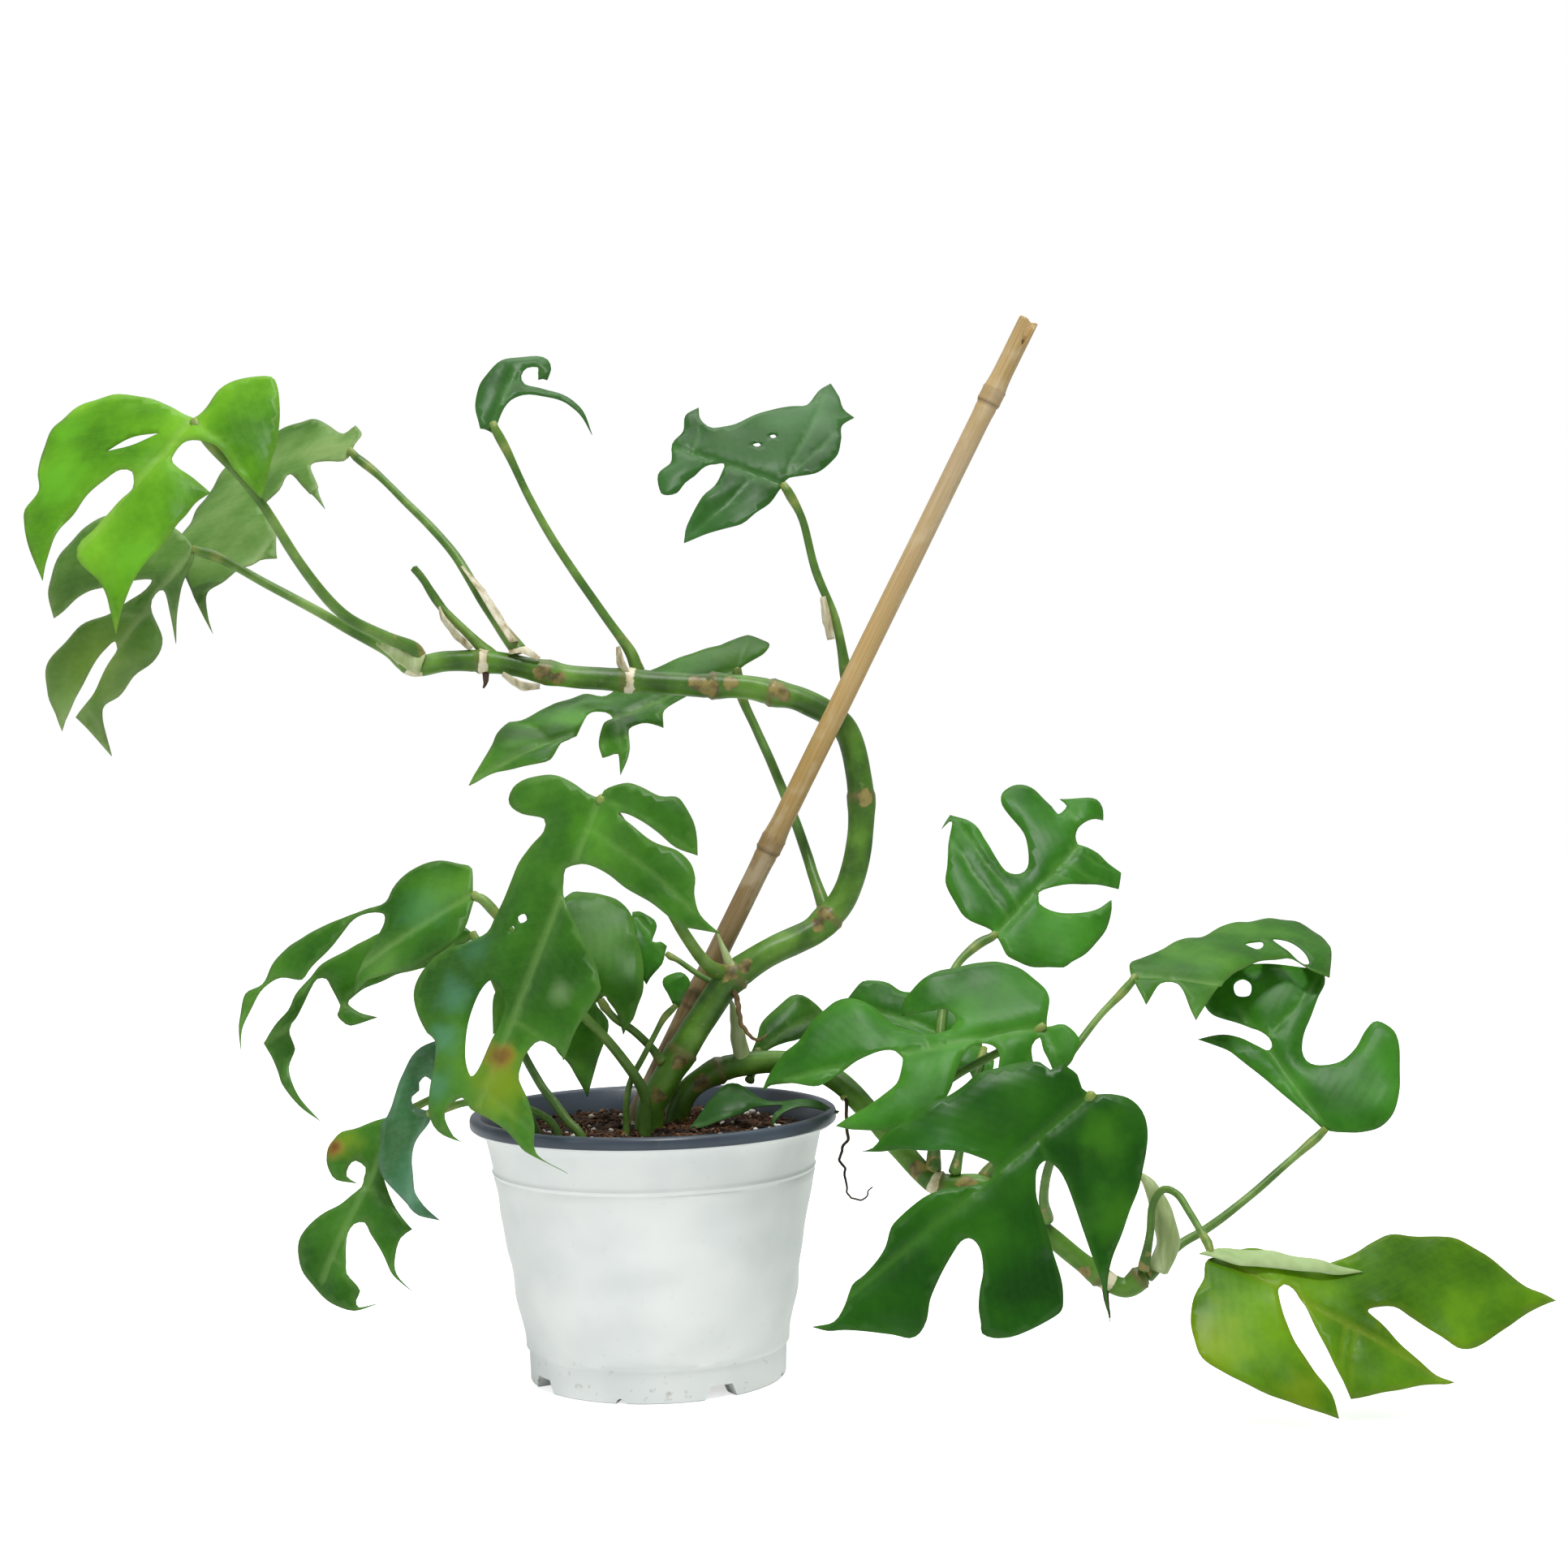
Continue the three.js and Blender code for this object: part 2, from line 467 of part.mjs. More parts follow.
    base: [44, 20, 132], heads: [74, 43, 51], faces: [5, -80, 60],
    outline: [
      [0, -1], [-2, 2], [4, 5], [10, 9], [20, 10], [28, 10], [32, 7], [34, 2], [35, -4], [26, -8],
      [16, -8], [12, -6], [6, -3],
    ],
    stalk: [[41, 11, 122], [43, 16, 126], [44, 19, 131]],
    radii: [1.5, 1.3],
  },
  {
    name: 'over_rim', colour: green.leaf, length: 64, droop: 0, cup: 0.05,
    base: [78, -8, 114], heads: [-99, -14, -10], faces: [0, -55, 83],
    outline: [
      [1, 1], [8, -2], [16, -3], [26, -5], [32, -8], [37, -14], [40, -18], [45, -18], [51, -12], [58, -5],
      [64, 0], [58, 1], [50, 1], [42, -1], [35, -3], [24, -2], [28, 1], [31, 8], [25, 3], [19, 1], [12, 3],
      [2, 3],
    ],
    stalk: [[87, -7, 111], [83, -9, 115], [79, -8, 115]],
    radii: [1.4, 1.1],
  },
  {
    name: 'low_front', colour: green.deep, length: 141, droop: 0.05, cup: 0.12,
    base: [174, -80, 125], heads: [-78, -26, -57], faces: [5, -93, 36],
    outline: [
      [1, -1], [2, -4], [0, -9], [1, -13], [2, -16], [7, -17], [8, -22], [14, -27], [22, -31], [29, -34],
      [37, -34], [45, -35], [56, -38], [64, -38], [72, -39], [79, -38], [83, -40], [78, -35], [71, -30],
      [65, -24], [59, -19], [54, -14], [51, -9], [49, -5], [49, -2], [52, 0], [54, 0], [61, -3], [67, -7],
      [74, -10], [80, -11], [88, -11], [94, -10], [100, -6], [106, -4], [113, -3], [119, -3], [126, 1],
      [133, 3], [140, -1], [137, 4], [132, 8], [126, 14], [119, 21], [115, 26], [111, 27], [106, 25],
      [100, 20], [92, 16], [87, 14], [81, 12], [77, 11], [74, 12], [73, 15], [74, 19], [78, 25], [83, 29],
      [88, 34], [91, 39], [93, 42], [91, 46], [86, 50], [81, 52], [73, 54], [66, 55], [63, 54], [58, 48],
      [54, 39], [50, 31], [47, 24], [44, 17], [41, 13], [37, 9], [33, 8], [31, 9], [30, 14], [31, 19],
      [34, 27], [38, 36], [42, 46], [45, 54], [47, 59], [53, 71], [48, 63], [43, 57], [36, 52], [28, 48],
      [19, 43], [11, 39], [4, 34], [-1, 30], [-6, 25], [-9, 20], [-10, 15], [-9, 10], [-5, 5], [0, 1],
    ],
    stalk: [[160, -28, 68], [158, -40, 79], [160, -56, 96], [168, -72, 116], [174, -81, 124]],
    radii: [2, 1.7],
  },
  {
    name: 'far_right_top', colour: green.crown, length: 90, droop: 0.05, cup: 0.06,
    base: [204, 20, 160], heads: [99, -3, -10], faces: [10, -40, 91],
    outline: [
      [-2, 9], [10, 22], [27, 42], [44, 58], [58, 68], [68, 74], [76, 74], [83, 68], [88, 60], [89, 48],
      [86, 27], [78, 28], [68, 33], [51, 22], [38, 3], [24, -26], [17, -6], [10, -6], [4, -16], [0, -7],
    ],
    stalk: [[137, -22, 85], [144, -18, 92], [160, -6, 113], [178, 8, 133], [188, 14, 144], [197, 18, 152],
      [203, 20, 158]],
    radii: [1.9, 1.4],
  },
  {
    name: 'far_right', colour: green.leaf, length: 90, droop: 0.08, cup: 0.12,
    base: [283, 20, 93], heads: [-47, 44, 76], faces: [-10, -89, 45],
    outline: [
      [0, 0], [9, 3], [20, 6], [33, 9], [45, 13], [52, 15], [64, 22], [59, 12], [54, 7], [48, 4], [43, 1],
      [43, -2], [47, -3], [53, -1], [59, 3], [65, 8], [70, 11], [76, 11], [81, 7], [85, 0],
      [82, -14], [74, -27], [66, -37], [62, -42], [56, -38], [52, -32], [46, -24], [41, -17], [35, -12],
      [30, -11], [26, -13], [23, -18], [22, -24], [24, -32], [28, -39], [30, -45], [28, -48], [22, -50],
      [15, -48], [6, -42], [-2, -36], [-9, -28], [-11, -20], [-9, -12], [-6, -7],
    ],
    holes: [[[68, -7], [72, -11], [77, -9], [76, -4], [71, -2]]],
    stalk: [[204, -18, 42], [216, -11, 51], [227, -6, 56], [237, 0, 61], [251, 6, 70], [265, 12, 80],
      [282, 19, 92]],
    radii: [2, 1.5],
  },
  {
    name: 'low_right', colour: green.crown, length: 120, droop: 0.03, cup: 0.1,
    base: [220, -72, 60], heads: [86, -26, -43], faces: [10, -75, 66],
    outline: [
      [0, -3], [2, -12], [2, -22], [5, -31], [9, -37], [15, -43], [25, -44], [38, -44], [49, -42], [58, -40],
      [70, -36], [64, -30], [54, -25], [44, -19], [36, -12], [31, -6], [29, -2], [30, 2], [34, 2], [39, -1],
      [46, -7], [54, -14], [62, -20], [71, -26], [78, -21], [86, -14], [95, -6], [103, 2], [96, 1], [87, 2],
      [77, 4], [68, 7], [63, 9], [63, 11], [67, 14], [73, 17], [82, 17], [92, 16], [99, 15], [104, 18],
      [108, 24], [113, 35], [118, 47], [126, 60], [120, 59], [114, 58], [105, 60], [94, 62], [85, 62],
      [80, 61], [68, 54], [58, 48], [53, 40], [49, 32], [45, 25], [39, 19], [24, 14], [12, 10],
    ],
    stalk: [[200, -25, 47], [202, -28, 60], [203, -29, 71], [207, -32, 78], [212, -38, 77], [215, -48, 72], [217, -58, 68], [220, -69, 62]],
    radii: [1.7, 1.4],
  },
];

// The blade is cut flat, split until no edge is longer than the span, and only then bent.
function bladeSolid(leaf, thick) {
  const toLoop = (pairs) => pairs.map(([a, b]) => new THREE.Vector2(a, b));
  const shape = new THREE.Shape(toLoop(leaf.outline));
  shape.holes = (leaf.holes || []).map((loop) => new THREE.Path(toLoop(loop)));
  const flat = new THREE.ExtrudeGeometry(shape, { depth: thick, bevelEnabled: false });
  const split = joinPoints(new TessellateModifier(bladeSpan, bladeSplits).modify(flat));
  const heads = vec(leaf.heads).normalize();
  const faceOut = vec(leaf.faces);
  faceOut.addScaledVector(heads, -faceOut.dot(heads)).normalize();
  const across = new THREE.Vector3().crossVectors(faceOut, heads);
  const spots = split.attributes.position;
  for (let k = 0; k < spots.count; k += 1) {
    const a = spots.getX(k);
    const b = spots.getY(k);
    const bend = -(leaf.droop * a * Math.abs(a) + leaf.cup * b * b) / leaf.length;
    const spot = vec(leaf.base).addScaledVector(heads, a).addScaledVector(across, b)
      .addScaledVector(faceOut, bend + spots.getZ(k) - thick / 2);
    spots.setXYZ(k, ...follow(spot.toArray()));
  }
  return fromIndexed(split);
}

// ---- stems ----
const mainRoute = [
  [-3, -9, 76], [-2, -10, 92], [-1, -10, 110], [3, -10, 119], [12, -10, 134], [21, -9, 148], [34, -8, 165],
  [52, -4, 176], [70, 4, 184], [83, 8, 200], [89, 12, 226], [88, 14, 250], [82, 15, 268], [67, 15, 278],
  [54, 15, 282], [40, 15, 285], [21, 14, 286], [-2, 12, 288], [-33, 10, 291], [-61, 8, 297], [-81, 6, 298],
  [-95, 5, 296],
];
const mainRadii = [5.5, 6, 6, 5.8, 5.4, 5.2, 5, 4.8, 4.6, 4.2];
const trailRoute = [
  [8, 7, 82], [8, 7, 98], [12, 7, 113], [20, 8, 121], [32, 9, 126], [50, 7, 128], [66, 3, 126], [78, -3, 120],
  [90, -10, 108], [102, -16, 94], [116, -22, 81], [133, -25, 80], [147, -24, 71], [162, -22, 58],
  [181, -20, 42], [192, -20, 36], [200, -20, 41],
];
const trailRadii = [4.8, 5, 4.6, 4.4, 4, 4];
const stem = {
  main: (grow) => stemSolid(mainRoute, mainRadii, 9, 42, grow),
  trail: (grow) => stemSolid(trailRoute, trailRadii, 9, 34, grow),
};

const mainFat = stem.main(fitGap);
const trailFat = stem.trail(fitGap);
const stakeFat = stakeSolid(fitGap);
const stalks = leaves.map((leaf) => ({
  leaf,
  solid: trim(stemSolid(leaf.stalk, leaf.radii, 7, leaf.stalk.length + 3), [
    mainFat, trailFat, stakeFat, bladeSolid(leaf, bladeThick + fitGap * 2)]),
  fat: stemSolid(leaf.stalk, leaf.radii, 7, leaf.stalk.length + 3, fitGap),
}));

const rooted = stalks.filter(({ leaf }) => follow(leaf.stalk[0])[2] < potHeight - soilBelowRim);
place('pot', potSolid(), 0xeef1f0, 0.45);
place('soil', soilSolid([mainFat, trailFat, stakeFat, ...rooted.map(({ fat }) => fat)]), 0x2a1a12, 0.95);
place('bamboo_stake', stakeSolid(0), 0xc69c5d, 0.55);
place('vine_main', stem.main(0), green.stem, 0.5);
place('vine_trailing', stem.trail(0), green.stem, 0.5);
for (const { leaf, solid } of stalks) {
  place(`${leaf.name}_blade`, bladeSolid(leaf, bladeThick), leaf.colour, 0.4);
  place(`${leaf.name}_petiole`, solid, green.stem, 0.45);
}

// ---- what else grows on the stems ----
const extras = [
  { name: 'cut_petiole', colour: 0x9db04a, radii: [1.8, 1.5],
    route: [[-64, 8, 300], [-70, 8, 306], [-77, 8, 313], [-85, 8, 322], [-91, 8, 332], [-95, 8, 337]] },
  { name: 'node_sheath', colour: 0xd9d3ae, radii: [1.6, 1.3, 0.4],
    route: [[36, -6, 167], [32, -6, 175], [27, -5, 183]] },
  { name: 'aerial_root', colour: 0x4a3a28, radii: [1.1, 0.8],
    route: [[35, -11, 162], [36, -14, 157], [37, -16, 150], [40, -16, 143], [44, -16, 140], [48, -16, 142]] },
  { name: 'hanging_root', colour: 0x2c2620, radii: [0.7, 0.5],
    route: [[81, -8, 117], [80, -12, 108], [80, -12, 98], [77, -12, 91], [79, -12, 84], [80, -12, 75],
      [86, -12, 73], [90, -12, 78]] },
  { name: 'trailing_sheath', colour: 0xd9d3ae, radii: [1, 2.4, 2.2, 1.2],
    route: [[200, -22, 84], [206, -21, 76], [211, -20, 64], [212, -20, 54], [208, -20, 47]] },
  { name: 'pale_shoot', colour: 0xc9cf8a, radii: [2.6, 2.4, 1.2],
    route: [[38, 8, 130], [36, 6, 138], [35, 4, 147], [34, 4, 154]] },
];
const stemCutters = [mainFat, trailFat, stakeFat, ...stalks.map(({ fat }) => fat)];
for (const { name, colour, radii, route } of extras) {
  place(name, trim(stemSolid(route, radii, 7, route.length + 4), stemCutters), colour, 0.6);
}

export default group;
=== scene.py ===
import bpy
import bmesh
import math
import random
import numpy as np
from mathutils import Vector, Matrix, noise
from mathutils.geometry import delaunay_2d_cdt


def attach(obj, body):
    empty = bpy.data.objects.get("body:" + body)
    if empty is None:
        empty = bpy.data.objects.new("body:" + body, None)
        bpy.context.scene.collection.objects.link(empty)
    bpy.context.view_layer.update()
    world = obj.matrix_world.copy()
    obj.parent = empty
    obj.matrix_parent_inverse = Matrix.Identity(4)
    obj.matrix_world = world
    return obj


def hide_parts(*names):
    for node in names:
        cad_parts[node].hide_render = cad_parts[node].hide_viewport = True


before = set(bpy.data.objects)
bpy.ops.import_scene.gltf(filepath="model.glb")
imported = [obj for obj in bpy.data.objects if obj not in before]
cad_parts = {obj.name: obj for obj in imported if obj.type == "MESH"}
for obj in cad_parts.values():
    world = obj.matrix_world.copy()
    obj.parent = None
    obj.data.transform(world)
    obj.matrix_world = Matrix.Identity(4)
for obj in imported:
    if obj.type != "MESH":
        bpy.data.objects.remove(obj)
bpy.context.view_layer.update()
mm = 0.001
print("frame loaded,", len(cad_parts), "nodes")


# helpers: colours, shader nodes, pieces and curves
def hexLinear(code):
    # sRGB hex to the linear colour that a shader wants
    channels = [int(code[i:i + 2], 16) / 255 for i in (1, 3, 5)]
    linear = [c / 12.92 if c <= 0.04045 else ((c + 0.055) / 1.055) ** 2.4 for c in channels]
    return tuple(linear) + (1.0,)


def addNode(tree, kind, links=None, **settings):
    # one shader node, its settings and values, and the sockets that feed it
    node = tree.nodes.new(kind)
    for key, value in settings.items():
        if hasattr(node, key):
            setattr(node, key, value)
        else:
            node.inputs[key.replace("_", " ")].default_value = value
    for key, source in (links or {}).items():
        tree.links.new(source, node.inputs[key])
    return node


def maths(tree, operation, first, second=None, clamp=False):
    # one maths node; second may be a number or a socket
    node = addNode(tree, "ShaderNodeMath", {0: first}, operation=operation, use_clamp=clamp)
    if isinstance(second, (int, float)):
        node.inputs[1].default_value = second
    elif second is not None:
        tree.links.new(second, node.inputs[1])
    return node.outputs[0]


def addScale(tree, source, share):
    return maths(tree, "MULTIPLY", source, share, True)


def mapRange(tree, source, **limits):
    # the source's range, set by fromMin, fromMax, toMin or toMax
    node = addNode(tree, "ShaderNodeMapRange", {"Value": source})
    sockets = dict(fromMin="From Min", fromMax="From Max", toMin="To Min", toMax="To Max")
    for key, value in limits.items():
        node.inputs[sockets[key]].default_value = value
    return node.outputs[0]


def attribute(tree, name):
    return addNode(tree, "ShaderNodeAttribute", attribute_name=name).outputs["Fac"]


def objectPlace(tree):
    return addNode(tree, "ShaderNodeTexCoord").outputs["Object"]


def pattern(tree, place, scale, detail, stretch=None):
    # cloudy noise, stretched along the axes if asked
    if stretch:
        mapping = addNode(tree, "ShaderNodeMapping", {"Vector": place})
        mapping.inputs["Scale"].default_value = stretch
        place = mapping.outputs[0]
    cloud = addNode(tree, "ShaderNodeTexNoise", {"Vector": place}, Scale=scale, Detail=detail)
    return cloud.outputs["Fac"]


def addBump(tree, shader, height, strength, distance):
    bump = addNode(tree, "ShaderNodeBump", {"Height": height}, Strength=strength, Distance=distance)
    tree.links.new(bump.outputs[0], shader.inputs["Normal"])


def passLight(tree, shader, colour, share):
    # a thin skin lets a share of the light through
    glowing = addNode(tree, "ShaderNodeBsdfTranslucent", {"Color": colour})
    both = addNode(tree, "ShaderNodeMixShader", {1: shader.outputs[0], 2: glowing.outputs[0]},
                   Fac=share)
    tree.links.new(both.outputs[0], tree.nodes["Material Output"].inputs["Surface"])


def startMaterial(name):
    material = bpy.data.materials.new(name)
    material.use_nodes = True
    tree = material.node_tree
    shader = tree.nodes["Principled BSDF"]
    return material, tree, shader


def ramp(tree, source, stops, **settings):
    # a colour ramp through the listed positions and hex colours
    node = addNode(tree, "ShaderNodeValToRGB", {"Fac": source}, **settings)
    while len(node.color_ramp.elements) < len(stops):
        node.color_ramp.elements.new(0.5)
    for element, (place, code) in zip(node.color_ramp.elements, stops):
        element.position = place
        element.color = hexLinear(code)
    return node.outputs["Color"]


def mixColour(tree, share, first, second, blend="MIX"):
    # second laid over first; either may be a hex colour or a socket
    node = tree.nodes.new("ShaderNodeMix")
    node.data_type = "RGBA"
    node.blend_type = blend
    for socket, value in ((node.inputs[6], first), (node.inputs[7], second)):
        if isinstance(value, str):
            socket.default_value = hexLinear(value)
        else:
            tree.links.new(value, socket)
    if isinstance(share, float):
        node.inputs[0].default_value = share
    else:
        tree.links.new(share, node.inputs[0])
    return node.outputs[2]


def smooth(obj):
    for polygon in obj.data.polygons:
        polygon.use_smooth = True


def newPiece(name, verts, faces, materials, replaced=()):
    # a mesh that rides on the root body, with the CAD nodes that it stands for
    mesh = bpy.data.meshes.new(name)
    mesh.from_pydata([tuple(v) for v in verts], [], faces)
    mesh.update()
    for material in materials:
        mesh.materials.append(material)
    piece = bpy.data.objects.new(name, mesh)
    bpy.context.scene.collection.objects.link(piece)
    smooth(piece)
    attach(piece, "root")
    if replaced:
        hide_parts(*replaced)
    return piece


def addThickness(piece, thick):
    skin = piece.modifiers.new("thickness", "SOLIDIFY")
    skin.thickness = thick * mm
    skin.offset = 0
    return skin


def addAttribute(piece, name, values):
    layer = piece.data.attributes.new(name, "FLOAT", "POINT")
    layer.data.foreach_set("value", [float(v) for v in values])


def curvePoints(points, perSpan):
    # a smooth Catmull-Rom curve through the points, with perSpan steps between neighbours
    pts = [Vector(p) for p in points]
    pts = [pts[0] * 2 - pts[1]] + pts + [pts[-1] * 2 - pts[-2]]
    out = []
    for i in range(1, len(pts) - 2):
        p0, p1, p2, p3 = pts[i - 1:i + 3]
        for k in range(perSpan):
            t = k / perSpan
            out.append(0.5 * ((2 * p1) + (p2 - p0) * t + (2 * p0 - 5 * p1 + 4 * p2 - p3) * t * t
                              + (3 * p1 - p0 - 3 * p2 + p3) * t ** 3))
    out.append(pts[-2])
    return out


def distances(points):
    # how far along the run each point lies
    steps = [0.0]
    for a, b in zip(points, points[1:]):
        steps.append(steps[-1] + (b - a).length)
    return steps


def valueAt(values, share):
    # the value that lies at share of the way along an even list
    at = share * (len(values) - 1)
    low = min(int(at), len(values) - 2)
    return values[low] + (values[low + 1] - values[low]) * (at - low)


def bump(gap, width, power=2):
    # a smooth hump: 1 in the middle and about a third at width away
    return math.exp(-(gap / width) ** power)


def joinRings(low, high, sides):
    # quads between two rings of vertices that start at low and at high
    return [(low + s, low + (s + 1) % sides, high + (s + 1) % sides, high + s) for s in range(sides)]


def sweep(points, radiusAt, sides, seed=0, rough=0.0):
    # a round skin along the points; radiusAt(share, distance) is in mm, and both ends are domed
    steps = distances(points)
    total = steps[-1]
    normal = (points[1] - points[0]).normalized().orthogonal()
    verts, faces, along = [], [], []
    for i, centre in enumerate(points):
        ahead = points[min(i + 1, len(points) - 1)] - points[max(i - 1, 0)]
        ahead.normalize()
        normal = (normal - ahead * normal.dot(ahead)).normalized()
        side = ahead.cross(normal)
        radius = radiusAt(steps[i] / total, steps[i])
        for s in range(sides):
            turn = 2 * math.pi * s / sides
            spread = radius
            if rough:
                around = Vector((math.cos(turn) * 1.3, math.sin(turn) * 1.3, steps[i] * 0.09 + seed))
                spread *= 1 + rough * noise.noise(around)
            spot = centre + (normal * math.cos(turn) + side * math.sin(turn)) * spread
            verts.append(spot * mm)
            along.append(steps[i])
    last = len(points) - 1
    for i in range(last):
        faces += joinRings(i * sides, (i + 1) * sides, sides)
    domeHeight = 0.45
    for share, first, end, inner in ((0, 0, points[0], points[1]),
                                     (1, last * sides, points[-1], points[-2])):
        tip = end + (end - inner).normalized() * radiusAt(share, 0) * domeHeight
        centre = len(verts)
        verts.append(tip * mm)
        along.append(share * total)
        for s in range(sides):
            a, b = first + s, first + (s + 1) % sides
            faces.append((a, b, centre) if share else (b, a, centre))
    return verts, faces, along


# camera, floor and light
view = dict(stand=(0.0571, -1.15, 0.2798), down=1.77, roll=1.17, lens=63.8)
cameraData = bpy.data.cameras.new("camera")
cameraData.lens = view["lens"]
cameraData.sensor_width = 36
camera = bpy.data.objects.new("camera", cameraData)
bpy.context.scene.collection.objects.link(camera)
camera.matrix_world = (Matrix.Translation(view["stand"])
                       @ Matrix.Rotation(math.radians(90 - view["down"]), 4, "X")
                       @ Matrix.Rotation(math.radians(-view["roll"]), 4, "Z"))
bpy.context.scene.camera = camera

floorMaterial, floorTree, floorShader = startMaterial("white_paper_floor")
floorShader.inputs["Base Color"].default_value = hexLinear("#F4F5F4")
floorShader.inputs["Roughness"].default_value = 0.85
# the far floor is lifted to the backdrop's white, for what is seen straight on only
floorGlow = addNode(floorTree, "ShaderNodeEmission", Color=(1, 1, 1, 1), Strength=0.62)
floorRay = addNode(floorTree, "ShaderNodeLightPath")
floorDark = addNode(floorTree, "ShaderNodeEmission", Color=(0, 0, 0, 1), Strength=0.0)
floorLift = addNode(floorTree, "ShaderNodeMixShader",
                    {"Fac": floorRay.outputs["Is Camera Ray"], 1: floorDark.outputs[0],
                     2: floorGlow.outputs[0]})
floorSum = addNode(floorTree, "ShaderNodeAddShader",
                   {0: floorShader.outputs[0], 1: floorLift.outputs[0]})
floorTree.links.new(floorSum.outputs[0], floorTree.nodes["Material Output"].inputs["Surface"])
floorMesh = bpy.data.meshes.new("floor")
floorSize, floorSides = 3.5, 64
floorTurns = [2 * math.pi * k / floorSides for k in range(floorSides)]
floorRing = [(floorSize * math.cos(turn), floorSize * math.sin(turn), 0) for turn in floorTurns]
floorMesh.from_pydata(floorRing, [], [tuple(range(floorSides))])
floorMesh.materials.append(floorMaterial)
floorPiece = bpy.data.objects.new("floor", floorMesh)
bpy.context.scene.collection.objects.link(floorPiece)

lampAim = Vector((0, 0, 0.22))
lamps = [
    dict(name="key_softbox", at=(0.25, -0.85, 1.95), size=0.32, power=23),
    dict(name="left_softbox", at=(-1.4, -0.9, 0.9), size=1.2, power=5),
    dict(name="top_softbox", at=(0.1, 0.5, 1.9), size=1.4, power=17),
]
for lamp in lamps:
    data = bpy.data.lights.new(lamp["name"], "AREA")
    data.size = lamp["size"]
    data.energy = lamp["power"]
    light = bpy.data.objects.new(lamp["name"], data)
    light.location = lamp["at"]
    light.rotation_euler = (lampAim - Vector(lamp["at"])).to_track_quat("-Z", "Y").to_euler()
    bpy.context.scene.collection.objects.link(light)

world = bpy.data.worlds.new("pale_studio")
world.use_nodes = True
# the backdrop itself is full white, but it lights the plant only half as much
lit = world.node_tree.nodes["Background"]
lit.inputs["Color"].default_value = (0.97, 0.99, 1, 1)
lit.inputs["Strength"].default_value = 0.42
seen = addNode(world.node_tree, "ShaderNodeBackground", Color=(1, 1, 1, 1), Strength=1.0)
ray = addNode(world.node_tree, "ShaderNodeLightPath")
either = addNode(world.node_tree, "ShaderNodeMixShader",
                 {"Fac": ray.outputs["Is Camera Ray"], 1: lit.outputs[0], 2: seen.outputs[0]})
world.node_tree.links.new(either.outputs[0], world.node_tree.nodes["World Output"].inputs["Surface"])
bpy.context.scene.world = world
bpy.context.scene.view_settings.view_transform = "Standard"
print("camera, floor and light done")


# skins of the leaves
sideVeins = dict(apart=4.5, wander=9.0, sharp=0.8)


def leafMaterial(name, shades, vein, roughness=0.4, glow=0.14, marked=0.8):
    # waxy leaf skin: a soft sheen over green that shifts from patch to patch and pales on the veins
    material, tree, shader = startMaterial(name)
    place = objectPlace(tree)
    broad = pattern(tree, place, 26.0, 3.0)
    cells = pattern(tree, place, 420.0, 2.0)
    body = ramp(tree, broad, [(0.34, shades[0]), (0.5, shades[1]), (0.68, shades[2])])
    mottled = mixColour(tree, 0.1, body, ramp(tree, cells, [(0.35, shades[0]), (0.65, shades[2])]))
    # faint side veins, which wander a little
    wander = maths(tree, "MULTIPLY", broad, sideVeins["wander"])
    bent = maths(tree, "ADD", attribute(tree, "rows"), wander)
    wave = maths(tree, "SINE", maths(tree, "MULTIPLY", bent, 2 * math.pi / sideVeins["apart"]))
    thin = mapRange(tree, wave, fromMin=sideVeins["sharp"])
    lined = mixColour(tree, addScale(tree, thin, 0.07), mottled, shades[2])
    ribbed = mixColour(tree, addScale(tree, attribute(tree, "vein"), 0.5), lined, vein)
    edged = mixColour(tree, addScale(tree, attribute(tree, "rim"), 0.3), ribbed, vein)
    # marks: yellowing, pale rubbed patches and scorch of age, with painted light and painted
    # reflection as bright lime and grey-green patches
    aged = mixColour(tree, addScale(tree, attribute(tree, "yellow"), marked), edged, "#93A814")
    rubbed = mixColour(tree, addScale(tree, attribute(tree, "pale"), marked * 0.6), aged, "#9DB884")
    # painted light: bright lime patches where light shines through the blade
    paintedGlow = mixColour(tree, addScale(tree, attribute(tree, "glow"), marked), rubbed, "#6CC024")
    # painted reflection: grey-green sheen patches where the blade catches the light
    paintedSheen = mixColour(tree, addScale(tree, attribute(tree, "sheen"), marked * 0.7), paintedGlow, "#5F9C80")
    burnt = attribute(tree, "scorch")
    patchy = maths(tree, "MULTIPLY", burnt, broad)
    brown = ramp(tree, patchy, [(0.1, "#B08A34"), (0.3, "#A2602C"), (0.5, "#6B3A1E")])
    final = mixColour(tree, addScale(tree, burnt, 1.0), paintedSheen, brown)
    tree.links.new(final, shader.inputs["Base Color"])
    addBump(tree, shader, maths(tree, "ADD", maths(tree, "MULTIPLY", wave, 0.25), cells), 0.12, 0.0003)
    gloss = mapRange(tree, broad, toMin=roughness - 0.07, toMax=roughness + 0.1)
    tree.links.new(gloss, shader.inputs["Roughness"])
    shader.inputs["IOR"].default_value = 1.45
    shader.inputs["Specular IOR Level"].default_value = 0.28
    passLight(tree, shader, final, glow)
    return material


